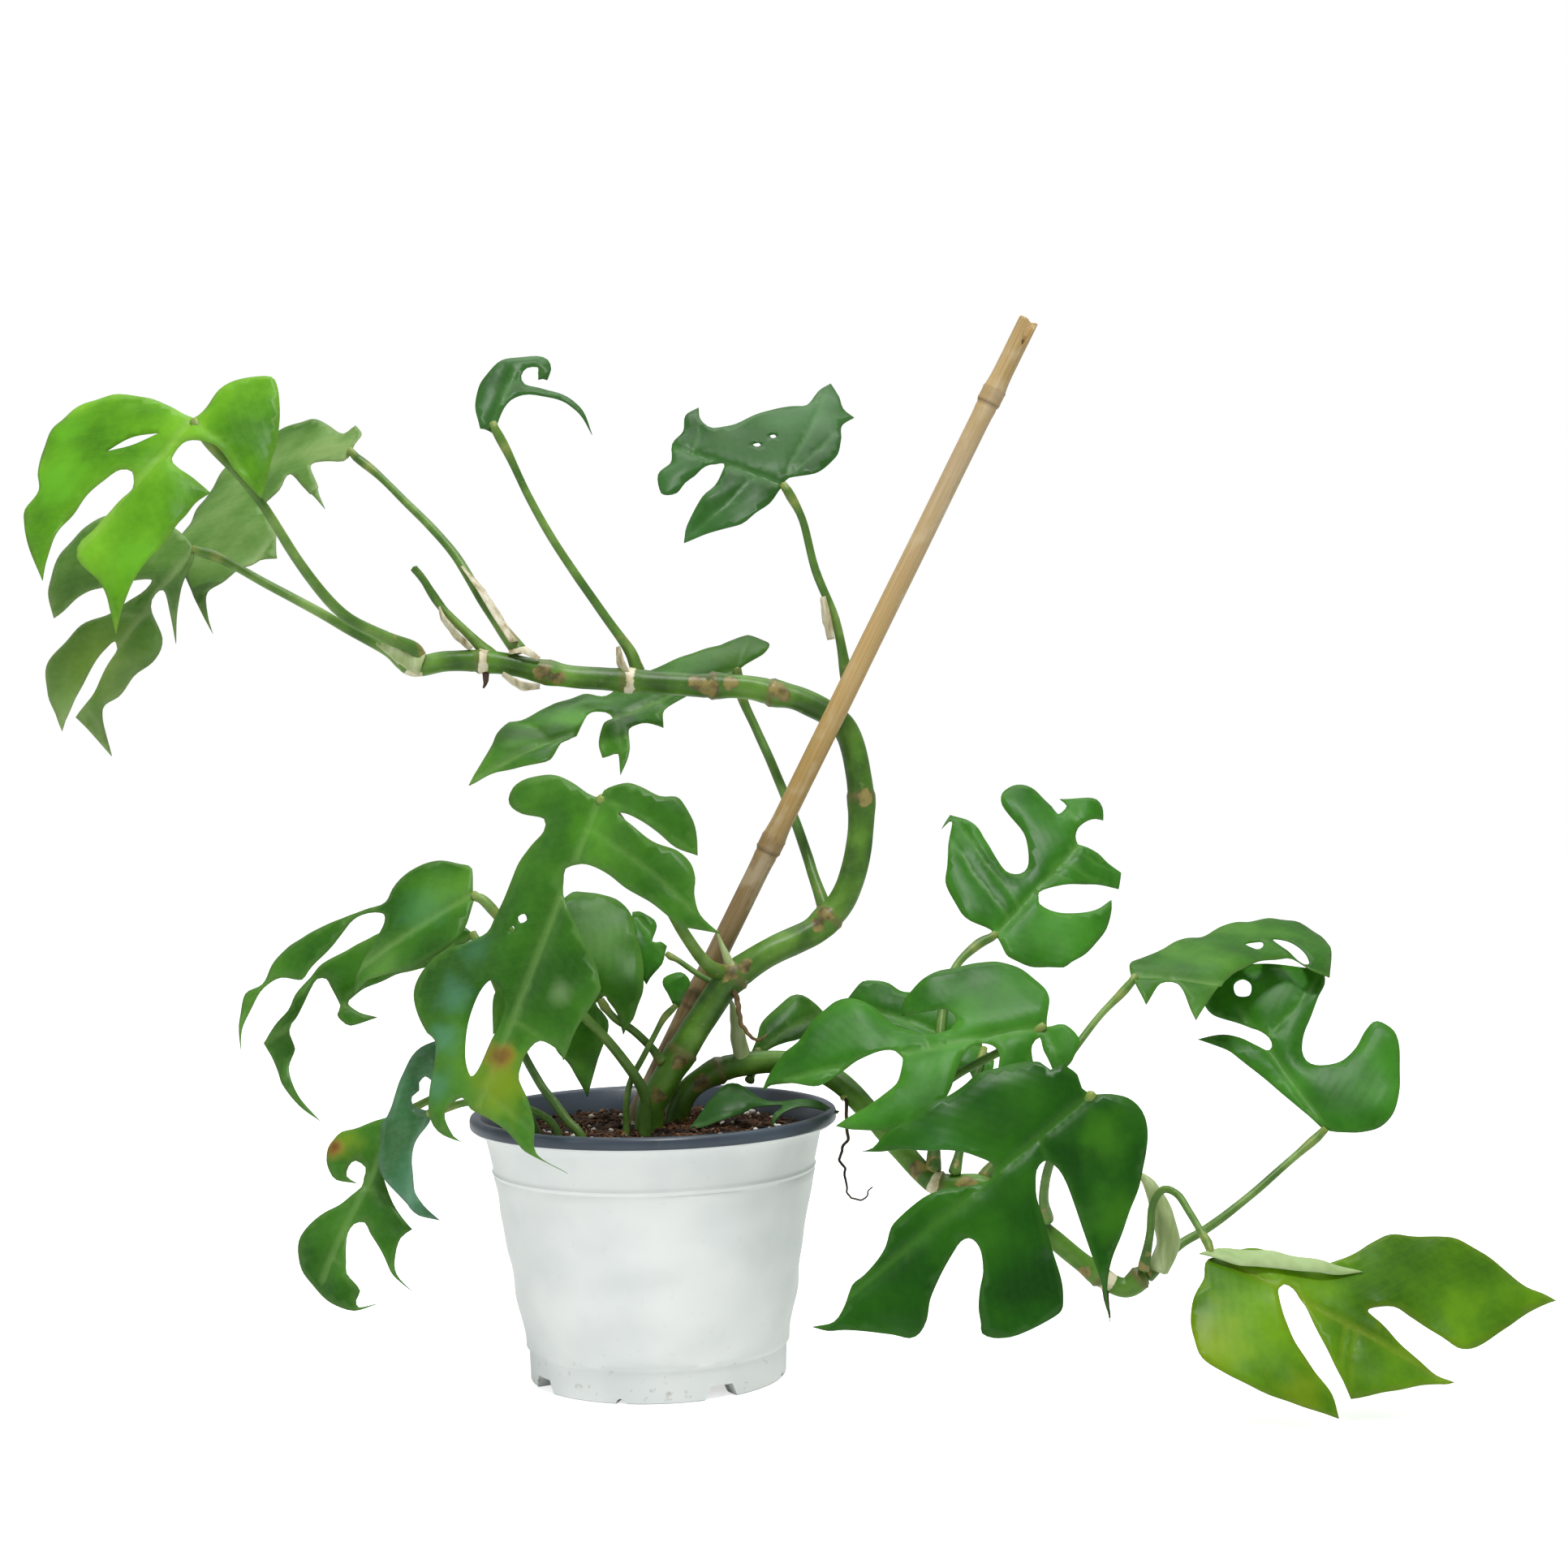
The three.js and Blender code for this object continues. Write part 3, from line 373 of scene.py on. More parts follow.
leafTones = {
    # newest growth: thin and lime green, with light coming through
    "lime": leafMaterial("waxy_leaf_lime", ["#437F0C", "#60A412", "#82C428"],
                         "#A2D05C", 0.4, 0.2),
    # young leaf on its way to full colour: yellow green
    "ripe": leafMaterial("waxy_leaf_yellow_green", ["#366400", "#4C7E00", "#6EA006"],
                         "#8CA42C", 0.38, 0.14),
    # leaf turned half away, greyed by its dull side
    "olive": leafMaterial("dull_leaf_olive", ["#41701C", "#5F8A38", "#87A65E"],
                          "#A6BC80", 0.5, 0.16),
    # grown leaf: mid green
    "mature": leafMaterial("waxy_leaf_green", ["#24580C", "#387214", "#558E2A"],
                           "#7EA858", 0.38, 0.13),
    # grown leaf in full light: fresher green, with the light painted into its colour
    "fresh": leafMaterial("waxy_leaf_painted_light_green", ["#235E0C", "#327612", "#479024"],
                          "#6CA448", 0.38, 0.13),
    # shaded leaf: deep and blue green, with the shade painted into its colour
    "deep": leafMaterial("waxy_leaf_painted_shade_green", ["#1C4A0C", "#2A5C1A", "#3C7034"],
                         "#5C8C4C", 0.38, 0.12),
    # glossy leaf with a painted grey reflection in its colour where it turns to the light
    "sheen": leafMaterial("glossy_leaf_painted_sheen", ["#2A5A22", "#457A4C", "#709A7A"],
                          "#8DB098", 0.28, 0.12),
    # oldest leaf: dark and saturated
    "dark": leafMaterial("waxy_leaf_dark_green", ["#0C3E00", "#185200", "#2A6806"],
                         "#4C842A", 0.34, 0.1),
    # folded margin that shows the pale back
    "pale": leafMaterial("pale_leaf_back", ["#86A85A", "#9ABB70", "#B4CC90"],
                         "#C8D8A8", 0.5, 0.14),
}
# the backs are duller and paler, and the newest leaf's back stays lime
leafUnder = leafMaterial("matte_leaf_underside", ["#4C7A24", "#5F8E38", "#7AA254"],
                         "#A4BC78", 0.5, 0.18, 0.2)
limeUnder = leafMaterial("matte_lime_underside", ["#5E9426", "#76AA3A", "#92BE58"],
                         "#B4D088", 0.5, 0.22, 0.2)


# each leaf in its own flat frame: (a, b) runs from stalk to tip and across, in mm
# marks are (a, b, radius, kind, strength); the glow marks are painted light and the sheen marks are
# painted reflections
leaves = [
    dict(name="crown_front", tone="lime", length=90, droop=0.1, cup=0.25, base=(-174, -45, 395),
         heads=(-61, -36, -71), faces=(-10, -85, 52), radii=(2.6, 1.5), root=(-93, 5, 296.5),
         marks=[
             (50, -30, 16, "glow", 0.8), (30, -44, 10, "glow", 0.7), (60, 22, 12, "glow", 0.6),
             (88, 33, 8, "yellow", 0.5)],
         holes=[[(31, -20), (20, -15.5), (12, -7), (23, -12.5)]],
         outline=[
             (-1, -1), (-8, 0), (-16, 0), (-23, 3), (-30, 10), (-32, 16), (-23, 26), (-13, 33),
             (-3, 38), (5, 42), (11, 44), (10, 37), (8, 28), (5, 19), (7, 9), (11, 4), (18, 4),
             (20, 9), (20, 17), (21, 27), (28, 25), (36, 26), (47, 27), (58, 27), (66, 27),
             (72, 28), (87, 33), (78, 22), (75, 15), (74, 6), (71, 0), (66, -2), (53, -1), (45, 0),
             (37, 0), (32, -4), (34, -8), (40, -11), (47, -13), (56, -14), (65, -14), (73, -12),
             (80, -10), (86, -7), (78, -21), (72, -29), (66, -35), (57, -35), (50, -43), (41, -49),
             (30, -53), (20, -53), (12, -47), (6, -38), (1, -24), (0, -13)],
         stalk=[
             (-95, 1, 303), (-105, -5, 308), (-122, -13, 318), (-136, -24, 337), (-151, -35, 364),
             (-167, -43, 384), (-173, -46, 393)]),
    dict(name="crown_low", tone="olive", length=86, droop=0.1, cup=0.2, base=(-184, -5, 346),
         heads=(-56, -31, -77), faces=(-20, -85, 48), radii=(2.4, 1.6), root=(-93, 5, 295.5),
         marks=[(60, -10, 22, "yellow", 0.25), (20, 8, 16, "pale", 0.4)],
         outline=[
             (-2, -3), (-5, -18), (-3, -34), (2, -50), (11, -57), (20, -59), (31, -58), (42, -52),
             (51, -43), (42, -36), (34, -29), (22, -12), (20, -6), (27, -7), (35, -12), (41, -16),
             (52, -24), (63, -28), (73, -26), (81, -19), (86, -11), (90, -6), (84, -6), (73, -7),
             (62, -7), (53, -6), (49, -5), (53, -1), (63, 0), (73, 0), (83, -2), (85, 7), (89, 22),
             (75, 8), (68, 12), (58, 14), (49, 16), (38, 12), (29, -1), (22, -1), (22, 3), (29, 11),
             (37, 18), (25, 12), (13, 6), (4, 4)],
         stalk=[
             (-100, 8, 297), (-107, 8, 303), (-122, 3, 312), (-133, -1, 319), (-154, -4, 331),
             (-173, -5, 342), (-182, -6, 345)]),
    dict(name="crown_back", tone="olive", length=95, droop=0, cup=0.15, base=(-126, 42, 390),
         heads=(-66, -38, -64), faces=(-35, -60, 72), radii=(2.4, 1.4),
         outline=[
             (0, 0), (7, -1), (13, -12), (21, 1), (31, 19), (26, -2), (23, -16), (32, -12),
             (42, -13), (49, 5), (61, 20), (68, 14), (84, 12), (94, 15), (105, 29), (90, -7),
             (82, -27), (70, -42), (52, -58), (30, -68), (12, -72), (1, -68), (-3, -60), (-10, -45),
             (-10, -30), (-8, -15), (-15, -16), (-10, -4)],
         stalk=[
             (-54, 11, 304), (-60, 13, 312), (-68, 16, 324), (-79, 24, 342), (-90, 30, 355),
             (-102, 36, 367), (-114, 42, 379), (-125, 44, 388)]),
    dict(name="crown_small", tone="deep", length=42, droop=0, cup=0.1, base=(-61, 10, 397),
         heads=(25, 60, 76), faces=(10, -80, 60), radii=(2, 1.5),
         outline=[
             (-3, -1.5), (-3, 4.5), (6.6, 9.6), (16.9, 11.2), (25, 10.2), (33.5, 6.4), (38.9, 0.1),
             (42.3, -6.7), (41.7, -11.6), (37.6, -14.3), (32.2, -14.2), (31, -10.6), (34, -9.6),
             (36.6, -8.6), (34.5, -4.6), (30, -3.4), (26.4, -6), (26.4, -13), (26, -21),
             (22, -31.5), (13, -39.5), (19.6, -30.5), (22.4, -21.4), (22.6, -14.5), (20.2, -7.2),
             (11, -1.6)],
         stalk=[
             (-4, 14, 295), (-7, 14, 302), (-18, 14, 318), (-35, 13, 344), (-46, 12, 364),
             (-55, 11, 384), (-61, 9, 396)]),
    dict(name="crown_right", tone="deep", length=60, droop=0.08, cup=0.15, base=(59, 10, 369),
         heads=(-91, 17, 38), faces=(10, -80, 60), radii=(2, 1.5),
         holes=[
             [(20, -15), (18, -14), (16.5, -15.5), (18, -17)],
             [(15.5, -23), (14, -21.5), (12.5, -23), (14, -24.5)]],
         outline=[
             (0, 0), (-1, -5), (-10, -11), (-14, -25), (-12, -36), (-8, -48), (-10, -58), (-4, -60),
             (1, -68), (9, -80), (10, -65), (10, -52), (15, -48), (21, -40), (26, -32), (33, -23),
             (39, -17), (46, -20), (51, -30), (53, -20), (50, -11), (51, -2), (48, 5), (47, 9),
             (49, 17), (44, 25), (41, 25), (38, 22), (37, 16), (35, 11), (33, 4), (27, -1), (25, 7),
             (25, 15), (27, 22), (28, 34), (26, 41), (20, 36), (13, 31), (7, 26), (4, 19), (1, 12)],
         stalk=[
             (84, 15, 290), (80, 14, 312), (72, 12, 333), (67, 11, 354), (60, 9, 368)]),
    dict(name="back_left", tone="mature", length=116, droop=0, cup=0.1, base=(38, 45, 293),
         heads=(-90, -28, -32), faces=(-10, -60, 80), radii=(2.4, 1.7),
         marks=[(70, -8, 14, "glow", 0.35), (20, 8, 14, "sheen", 0.25)],
         outline=[
             (0, 0), (-13, -2), (-19, -8), (-20, -12), (-16, -25), (-5, -21), (1, -19), (19, -19),
             (40, -20), (55, -16), (63, -23), (71, -23), (81, -22), (91, -20), (97, -25),
             (105, -17), (110, -10), (118, -2), (127, 5), (117, 7), (106, 11), (98, 15), (93, 15),
             (85, 7), (81, 6), (73, -1), (65, -8), (59, 1), (64, 4), (70, 11), (72, 19), (66, 22),
             (70, 34), (62, 26), (56, 12), (49, 9), (42, 15), (38, 8), (29, 7), (17, 6), (7, 5)],
         stalk=[
             (74, 8, 189), (69, 16, 204), (66, 22, 214), (61, 28, 229), (52, 36, 252),
             (46, 41, 266), (40, 45, 280), (38, 45, 292)]),
    dict(name="front_centre", tone="mature", length=145, droop=0.05, cup=0.15, base=(-16, -50, 242),
         heads=(-37, -21, -91), faces=(-20, -93, 30), radii=(2.6, 1.9),
         marks=[
             (109, -1, 8, "scorch", 0.75), (119, 3, 16, "yellow", 0.7), (78, 14, 6, "pale", 0.7),
             (12, 2, 12, "glow", 0.3), (93, -27, 9, "sheen", 0.7), (110, -25, 9, "sheen", 0.8),
             (128, -21, 9, "sheen", 0.7), (73, -26, 9, "sheen", 0.4)],
         holes=[
             [(57.5, -11.5), (55.5, -9.5), (53.5, -11.5), (55.5, -13.5)],
             [(62.5, -14), (61, -12.7), (59.5, -14), (61, -15.3)],
             [(82.3, -14.9), (85.4, -8.5), (94.8, -5.5), (105.2, -6.2), (116.4, -7), (120, -9),
              (114, -13.6), (101.4, -17.5), (89, -17.9)]],
         outline=[
             (0, 0), (0, -5), (-2, -12), (-3, -19), (-2, -25), (2, -32), (7, -36), (12, -36),
             (15, -33), (16, -28), (15, -19), (20, -17), (27, -20), (35, -22), (50, -22), (58, -23),
             (65, -24), (71, -31), (77, -39), (84, -43), (92, -45), (98, -44), (105, -39),
             (110, -33), (112, -28), (121, -25), (132, -23), (138, -21), (143, -17), (145, -12),
             (145, -3), (144, -8), (137, -14), (129, -10), (132, -5), (133, 4), (135, 12),
             (138, 18), (140, 22), (142, 40), (139, 26), (129, 22), (122, 17), (115, 10), (110, 9),
             (104, 9), (98, 12), (99, 20), (102, 23), (87, 25), (73, 29), (71, 29), (63, 23),
             (55, 14), (48, 7), (41, 0), (36, -2), (31, -3), (28, 1), (27, 7), (28, 15), (31, 24),
             (33, 35), (36, 44), (38, 50), (35, 64), (31, 55), (24, 50), (18, 48), (13, 44),
             (10, 37), (10, 27), (7, 18), (4, 10), (3, 13), (4, 21), (6, 28), (9, 36), (9, 45),
             (4, 43), (-3, 39), (-9, 32), (-10, 29), (-8, 23), (-9, 15), (-9, 9), (-6, 4), (-3, 1)],
         stalk=[
             (30, -10, 167), (24, -18, 172), (17, -28, 183), (11, -36, 195), (0, -42, 219),
             (-10, -46, 234), (-15, -48, 240)]),
    dict(name="centre_back", tone="mature", length=50, droop=0, cup=0.15, base=(-20, -15, 158),
         heads=(-88, 17, 45), faces=(0, -93, 36), radii=(1.8, 1.5),
         outline=[
             (-1, -2), (-3, -1), (-9, 2), (-15, 8), (-15, 5), (-16, 1), (-15, -5), (-14, -11),
             (-11, -17), (-8, -22), (-3, -28), (2, -33), (6, -38), (11, -41), (16, -42), (21, -41),
             (25, -40), (30, -38), (33, -36), (35, -30), (40, -19), (40, -4), (38, 8), (40, 18),
             (33, 32), (26, 22), (15, 21), (5, 27), (-1, 29), (-6, 32), (-11, 35), (-14, 37),
             (-13, 32), (-12, 27), (-11, 22), (-10, 15), (-9, 10), (-7, 6), (-3, 4), (1, 2)],
         stalk=[
             (3, -13, 134), (0, -13, 138), (-7, -14, 145), (-14, -15, 150), (-19, -16, 156)]),
    dict(name="young_upper", tone="fresh", length=24, droop=0, cup=0.1, base=(7, 0, 175),
         heads=(-64, 25, 72), faces=(10, -91, 40), radii=(1.4, 1.1),
         outline=[
             (1, 0), (-2, 4), (-3, 11), (-4, 14), (4, 13), (16, 6), (24, -2), (22, -4), (19, -5),
             (15, -6), (12, -5), (10, -2), (8, 1), (6, -2), (3, -3)],
         stalk=[
             (30, -4, 161), (26, -4, 163), (19, -3, 167), (12, -2, 172), (8, -1, 174)]),
    dict(name="young_lower", tone="fresh", length=14, droop=0, cup=0.1, base=(11, -15, 155),
         heads=(8, 31, 95), faces=(-10, -94, 31), radii=(1.5, 1.1),
         outline=[
             (0, 1), (5, 4), (8, 6), (11, 6), (13, 3), (14, -1), (12, -4), (9, -5), (5, -3),
             (0, -1)],
         stalk=[
             (-10, -22, 92), (-10, -22, 112), (-9, -22, 121), (-7, -22, 127), (-3, -20, 134),
             (2, -18, 143), (6, -17, 150), (10, -16, 154)]),
    dict(name="left_upper", tone="mature", length=110, droop=0.1, cup=0.2, base=(-70, -25, 203),
         heads=(-86, -13, -49), faces=(-20, -80, 56), radii=(2.4, 1.6),
         marks=[(20, -6, 14, "sheen", 0.35), (45, 4, 12, "pale", 0.2)],
         outline=[
             (0, 0), (-5, -11), (-2, -17), (5, -25), (15, -27), (22, -26), (27, -24), (32, -21),
             (39, -23), (45, -24), (57, -28), (68, -30), (76, -31), (85, -26), (92, -21),
             (100, -22), (107, -13), (113, -3), (108, -9), (100, -15), (92, -19), (84, -18),
             (77, -11), (73, -12), (68, -14), (60, -17), (54, -20), (49, -22), (43, -22), (38, -20),
             (35, -15), (38, -10), (50, -4), (56, 0), (61, 6), (54, 7), (50, 9), (42, 12), (35, 15),
             (27, 16), (18, 16), (12, 14), (8, 11), (1, 3)],
         stalk=[
             (-3, -22, 92), (-2, -23, 112), (-2, -24, 119), (-6, -26, 128), (-16, -28, 142),
             (-32, -30, 160), (-50, -29, 182), (-64, -27, 199), (-69, -26, 202)]),
    dict(name="left_lower", tone="mature", length=96, droop=0, cup=0.1, base=(-74, 5, 185),
         heads=(-83, -13, -54), faces=(-15, -88, 45), radii=(2, 1.5),
         outline=[
             (0, 1), (10, 0), (22, 2), (29, -1), (36, -4), (45, -6), (50, -7), (56, -7), (59, -6),
             (57, 0), (52, 6), (63, 3), (65, -1), (65, -4), (62, -7), (61, -17), (61, -21),
             (64, -23), (68, -21), (74, -17), (80, -13), (85, -11), (87, -2), (90, 1), (93, 4),
             (95, 10), (96, 18), (94, 31), (98, 20), (99, 9), (98, 3), (97, -6), (97, -14),
             (89, -16), (81, -18), (75, -22), (66, -25), (59, -28), (45, -27), (38, -25), (22, -21),
             (9, -15), (1, -4)],
         stalk=[
             (-26, -36, 88), (-27, -36, 104), (-33, -33, 111), (-38, -28, 117), (-45, -21, 125),
             (-54, -12, 140), (-63, -3, 162), (-73, 4, 184)]),
    dict(name="rim_left", tone="sheen", length=42, droop=0, cup=0.2, base=(-88, -45, 117),
         heads=(-24, -13, -96), faces=(-31, -93, 21), radii=(1.7, 1.4),
         marks=[(30, 0, 14, "sheen", 0.5)],
         outline=[
             (-1, 0), (-1, -5), (-2, -8), (-5, -9), (-8, -7), (-11, -8), (-14, -6), (-13, -3),
             (-18, -2), (-29, -5), (-25, -10), (-19, -14), (-11, -16), (-5, -16), (0, -16),
             (5, -17), (8, -19), (15, -18), (21, -17), (26, -14), (30, -10), (34, -4), (38, 2),
             (40, 6), (40, 14), (37, 9), (34, 5), (30, 1), (23, -1), (18, -2), (13, -2), (9, -1),
             (3, 1)],
         stalk=[
             (-34, -47, 92), (-36, -46, 108), (-42, -44, 115), (-55, -43, 120), (-70, -43, 121),
             (-80, -44, 119), (-87, -46, 117)]),
    dict(name="low_left", tone="mature", length=70, droop=0.05, cup=0.15, base=(-104, -30, 111),
         heads=(-40, -35, -84), faces=(-20, -87, 46), radii=(2, 1.5),
         marks=[(17, -20, 5, "scorch", 0.9), (13, -16, 9, "yellow", 0.5)],
         outline=[
             (-4, -2), (1, -8), (6, -14), (10, -20), (14, -22), (18, -23), (23, -21), (27, -17),
             (29, -13), (27, -5), (26, -10), (22, -11), (19, -9), (20, -4), (24, -3), (28, -2),
             (33, -4), (38, -7), (43, -11), (50, -15), (55, -16), (61, -14), (67, -10), (71, -3),
             (74, 4), (75, 10), (74, 17), (68, 24), (72, 18), (70, 16), (66, 16), (64, 13), (62, 9),
             (58, 7), (52, 4), (47, 2), (43, 3), (41, 7), (44, 11), (48, 17), (52, 22), (56, 27),
             (59, 37), (55, 28), (48, 24), (41, 23), (36, 25), (34, 21), (31, 16), (27, 11),
             (22, 6), (17, 3), (8, 2)],
         stalk=[
             (-44, -29, 92), (-47, -28, 108), (-54, -27, 117), (-68, -26, 122), (-85, -26, 121),
             (-97, -28, 116), (-103, -31, 112)]),
    dict(name="right_upper", tone="fresh", length=84, droop=0.05, cup=0.15, base=(147, 40, 177),
         heads=(66, 44, 61), faces=(10, -86, 50), radii=(2.2, 1.6),
         outline=[
             (0, 3), (-3, 12), (-3, 17), (1, 25), (5, 32), (11, 36), (21, 43), (33, 50), (27, 51),
             (36, 53), (37, 45), (36, 38), (33, 32), (29, 23), (27, 16), (29, 12), (33, 10),
             (37, 11), (44, 17), (48, 22), (51, 31), (53, 38), (56, 41), (60, 42), (65, 41),
             (68, 38), (70, 32), (69, 22), (67, 17), (74, 17), (76, 22), (81, 14), (85, 9), (84, 5),
             (80, 1), (73, 5), (67, 6), (62, 4), (60, 1), (63, -8), (63, -14), (64, -21), (57, -25),
             (54, -21), (49, -15), (41, -8), (33, -3), (29, -1), (26, -3), (24, -5), (25, -10),
             (29, -16), (36, -22), (42, -25), (50, -26), (44, -30), (37, -33), (30, -34), (20, -34),
             (12, -32), (8, -31), (4, -26), (-2, -20), (-5, -12), (-5, -9), (-3, -5)],
         stalk=[
             (115, -22, 89), (116, -12, 100), (118, 0, 120), (122, 18, 147), (128, 30, 163),
             (138, 38, 172), (146, 40, 176)]),
    dict(name="right_front", tone="fresh", length=116, droop=0.08, cup=0.12, base=(160, -35, 146),
         heads=(-98, -12, -15), faces=(0, -80, 60), radii=(2, 1.6),
         outline=[
             (-1, 0), (-5, -11), (-5, -17), (-2, -23), (3, -30), (11, -34), (18, -35), (27, -35),
             (35, -35), (42, -33), (47, -30), (52, -26), (54, -20), (49, -19), (43, -18), (37, -17),
             (34, -11), (37, -7), (44, -7), (49, -9), (53, -12), (57, -15), (60, -19), (64, -25),
             (69, -29), (74, -32), (79, -32), (84, -29), (91, -24), (98, -17), (103, -15),
             (106, -13), (111, -9), (116, -3), (112, -4), (106, -2), (100, 2), (96, 4), (92, 4),
             (87, 2), (79, -2), (72, -3), (65, -4), (61, -3), (59, 1), (61, 7), (64, 12), (69, 15),
             (74, 17), (80, 19), (91, 22), (85, 26), (73, 30), (60, 29), (49, 25), (44, 20),
             (41, 15), (38, 10), (35, 6), (31, 3), (27, 2), (24, 3), (22, 5), (21, 9), (25, 19),
             (17, 18), (11, 17), (8, 16), (8, 11), (7, 7), (3, 4), (3, 10), (1, 20), (-4, 19),
             (-7, 17), (-10, 13), (-12, 10), (-11, 6), (-8, 2), (-5, 1)],
         stalk=[
             (100, -21, 100), (105, -24, 108), (114, -28, 118), (126, -30, 127), (144, -30, 136),
             (158, -33, 144)]),
    dict(name="right_middle", tone="fresh", length=60, droop=0, cup=0.1, base=(139, 15, 131),
         heads=(-91, 25, 33), faces=(0, -80, 60), radii=(1.8, 1.4),
         outline=[
             (0, 0), (7, -9), (18, -16), (30, -17), (41, -12), (49, -14), (55, -13), (60, -11),
             (62, -4), (63, 1), (49, 8), (36, 6), (25, 9), (16, 19), (7, 15), (4, 11), (-4, 17),
             (-7, 9), (-5, 2)],
         stalk=[
             (124, -24, 88), (128, -14, 100), (133, 0, 116), (138, 12, 129)]),
    dict(name="small_right", tone="mature", length=35, droop=0, cup=0.1, base=(44, 20, 132),
         heads=(74, 43, 51), faces=(5, -80, 60), radii=(1.5, 1.3),
         outline=[
             (0, -1), (-2, 2), (4, 5), (10, 9), (20, 10), (28, 10), (32, 7), (34, 2), (35, -4),
             (26, -8), (16, -8), (12, -6), (6, -3)],
         stalk=[
             (41, 11, 122), (43, 16, 126), (44, 19, 131)]),
    dict(name="over_rim", tone="deep", length=64, droop=0, cup=0.05, base=(78, -8, 114),
         heads=(-99, -14, -10), faces=(0, -55, 83), radii=(1.4, 1.1),
         outline=[
             (1, 1), (8, -2), (16, -3), (26, -5), (32, -8), (37, -14), (40, -18), (45, -18),
             (51, -12), (58, -5), (64, 0), (58, 1), (50, 1), (42, -1), (35, -3), (24, -2), (28, 1),
             (31, 8), (25, 3), (19, 1), (12, 3), (2, 3)],
         stalk=[
             (87, -7, 111), (83, -9, 115), (79, -8, 115)]),
    dict(name="low_front", tone="dark", length=141, droop=0.05, cup=0.12, base=(174, -80, 125),
         heads=(-78, -26, -57), faces=(5, -93, 36), radii=(2, 1.7),
         marks=[
             (8, 15, 12, "glow", 0.25), (24, 42, 14, "glow", 0.2), (62, -20, 16, "sheen", 0.12)],
         outline=[
             (1, -1), (2, -4), (0, -9), (1, -13), (2, -16), (7, -17), (8, -22), (14, -27),
             (22, -31), (29, -34), (37, -34), (45, -35), (56, -38), (64, -38), (72, -39), (79, -38),
             (83, -40), (78, -35), (71, -30), (65, -24), (59, -19), (54, -14), (51, -9), (49, -5),
             (49, -2), (52, 0), (54, 0), (61, -3), (67, -7), (74, -10), (80, -11), (88, -11),
             (94, -10), (100, -6), (106, -4), (113, -3), (119, -3), (126, 1), (133, 3), (140, -1),
             (137, 4), (132, 8), (126, 14), (119, 21), (115, 26), (111, 27), (106, 25), (100, 20),
             (92, 16), (87, 14), (81, 12), (77, 11), (74, 12), (73, 15), (74, 19), (78, 25),
             (83, 29), (88, 34), (91, 39), (93, 42), (91, 46), (86, 50), (81, 52), (73, 54),
             (66, 55), (63, 54), (58, 48), (54, 39), (50, 31), (47, 24), (44, 17), (41, 13),
             (37, 9), (33, 8), (31, 9), (30, 14), (31, 19), (34, 27), (38, 36), (42, 46), (45, 54),
             (47, 59), (53, 71), (48, 63), (43, 57), (36, 52), (28, 48), (19, 43), (11, 39),
             (4, 34), (-1, 30), (-6, 25), (-9, 20), (-10, 15), (-9, 10), (-5, 5), (0, 1)],
         stalk=[
             (160, -28, 68), (158, -40, 79), (160, -56, 96), (168, -72, 116), (174, -81, 124)]),
    dict(name="far_right_top", tone="mature", length=90, droop=0.05, cup=0.06, base=(204, 20, 160),
         heads=(99, -3, -10), faces=(10, -40, 91), radii=(1.9, 1.4),
         holes=[
             [(50, 39.5), (54, 43), (58, 44.5), (57.5, 39), (54.5, 35.5)],
             [(63, 49), (70, 49), (75, 42), (77.5, 33), (75, 31), (71, 34), (66, 42)]],
         outline=[
             (-2, 9), (10, 22), (27, 42), (44, 58), (58, 68), (68, 74), (76, 74), (83, 68),
             (88, 60), (89, 48), (86, 27), (78, 28), (68, 33), (51, 22), (38, 3), (24, -26),
             (17, -6), (10, -6), (4, -16), (0, -7)],
         stalk=[
             (137, -22, 85), (144, -18, 92), (160, -6, 113), (178, 8, 133), (188, 14, 144),
             (197, 18, 152), (203, 20, 158)]),
    dict(name="far_right", tone="fresh", length=90, droop=0.08, cup=0.12, base=(283, 20, 93),
         heads=(-47, 44, 76), faces=(-10, -89, 45), radii=(2, 1.5),
         holes=[[(68, -7), (72, -10.5), (76, -9), (76, -4.5), (71, -2.5)]],
         outline=[
             (0, 0), (9, 3), (20, 6), (33, 9), (45, 13), (52, 15), (64, 22), (59, 12), (54, 7),
             (48, 4), (43, 1), (43, -2), (47, -3), (53, -1), (59, 3), (65, 8), (70, 11), (76, 11),
             (81, 7), (85, 0), (82, -14), (74, -27), (66, -37), (62, -42), (56, -38), (52, -32),
             (46, -24), (41, -17), (35, -12), (30, -11), (26, -13), (23, -18), (22, -24), (24, -32),
             (28, -39), (30, -45), (28, -48), (22, -50), (15, -48), (6, -42), (-2, -36), (-9, -28),
             (-11, -20), (-9, -12), (-6, -7)],
         stalk=[
             (204, -18, 42), (216, -11, 51), (227, -6, 56), (237, 0, 61), (251, 6, 70),
             (265, 12, 80), (282, 19, 92)]),
    dict(name="low_right", tone="ripe", length=120, droop=0.03, cup=0.1, base=(220, -72, 60),
         heads=(86, -26, -43), faces=(10, -75, 66), radii=(1.7, 1.4),
         marks=[
             (14, -36, 18, "yellow", 0.6), (54, -36, 12, "yellow", 0.5), (95, 8, 10, "yellow", 0.3),
             (40, -6, 10, "yellow", 0.3)],
         outline=[
             (0, -3), (2, -12), (2, -22), (5, -31), (9, -37), (15, -43), (25, -44), (38, -44),
             (49, -42), (58, -40), (70, -36), (64, -30), (54, -25), (44, -19), (36, -12), (31, -6),
             (29, -2), (30, 2), (34, 2), (39, -1), (46, -7), (54, -14), (62, -20), (71, -26),
             (78, -21), (86, -14), (95, -6), (103, 2), (96, 1), (87, 2), (77, 4), (68, 7), (63, 9),
             (63, 11), (67, 14), (73, 17), (82, 17), (92, 16), (99, 15), (104, 18), (108, 24),
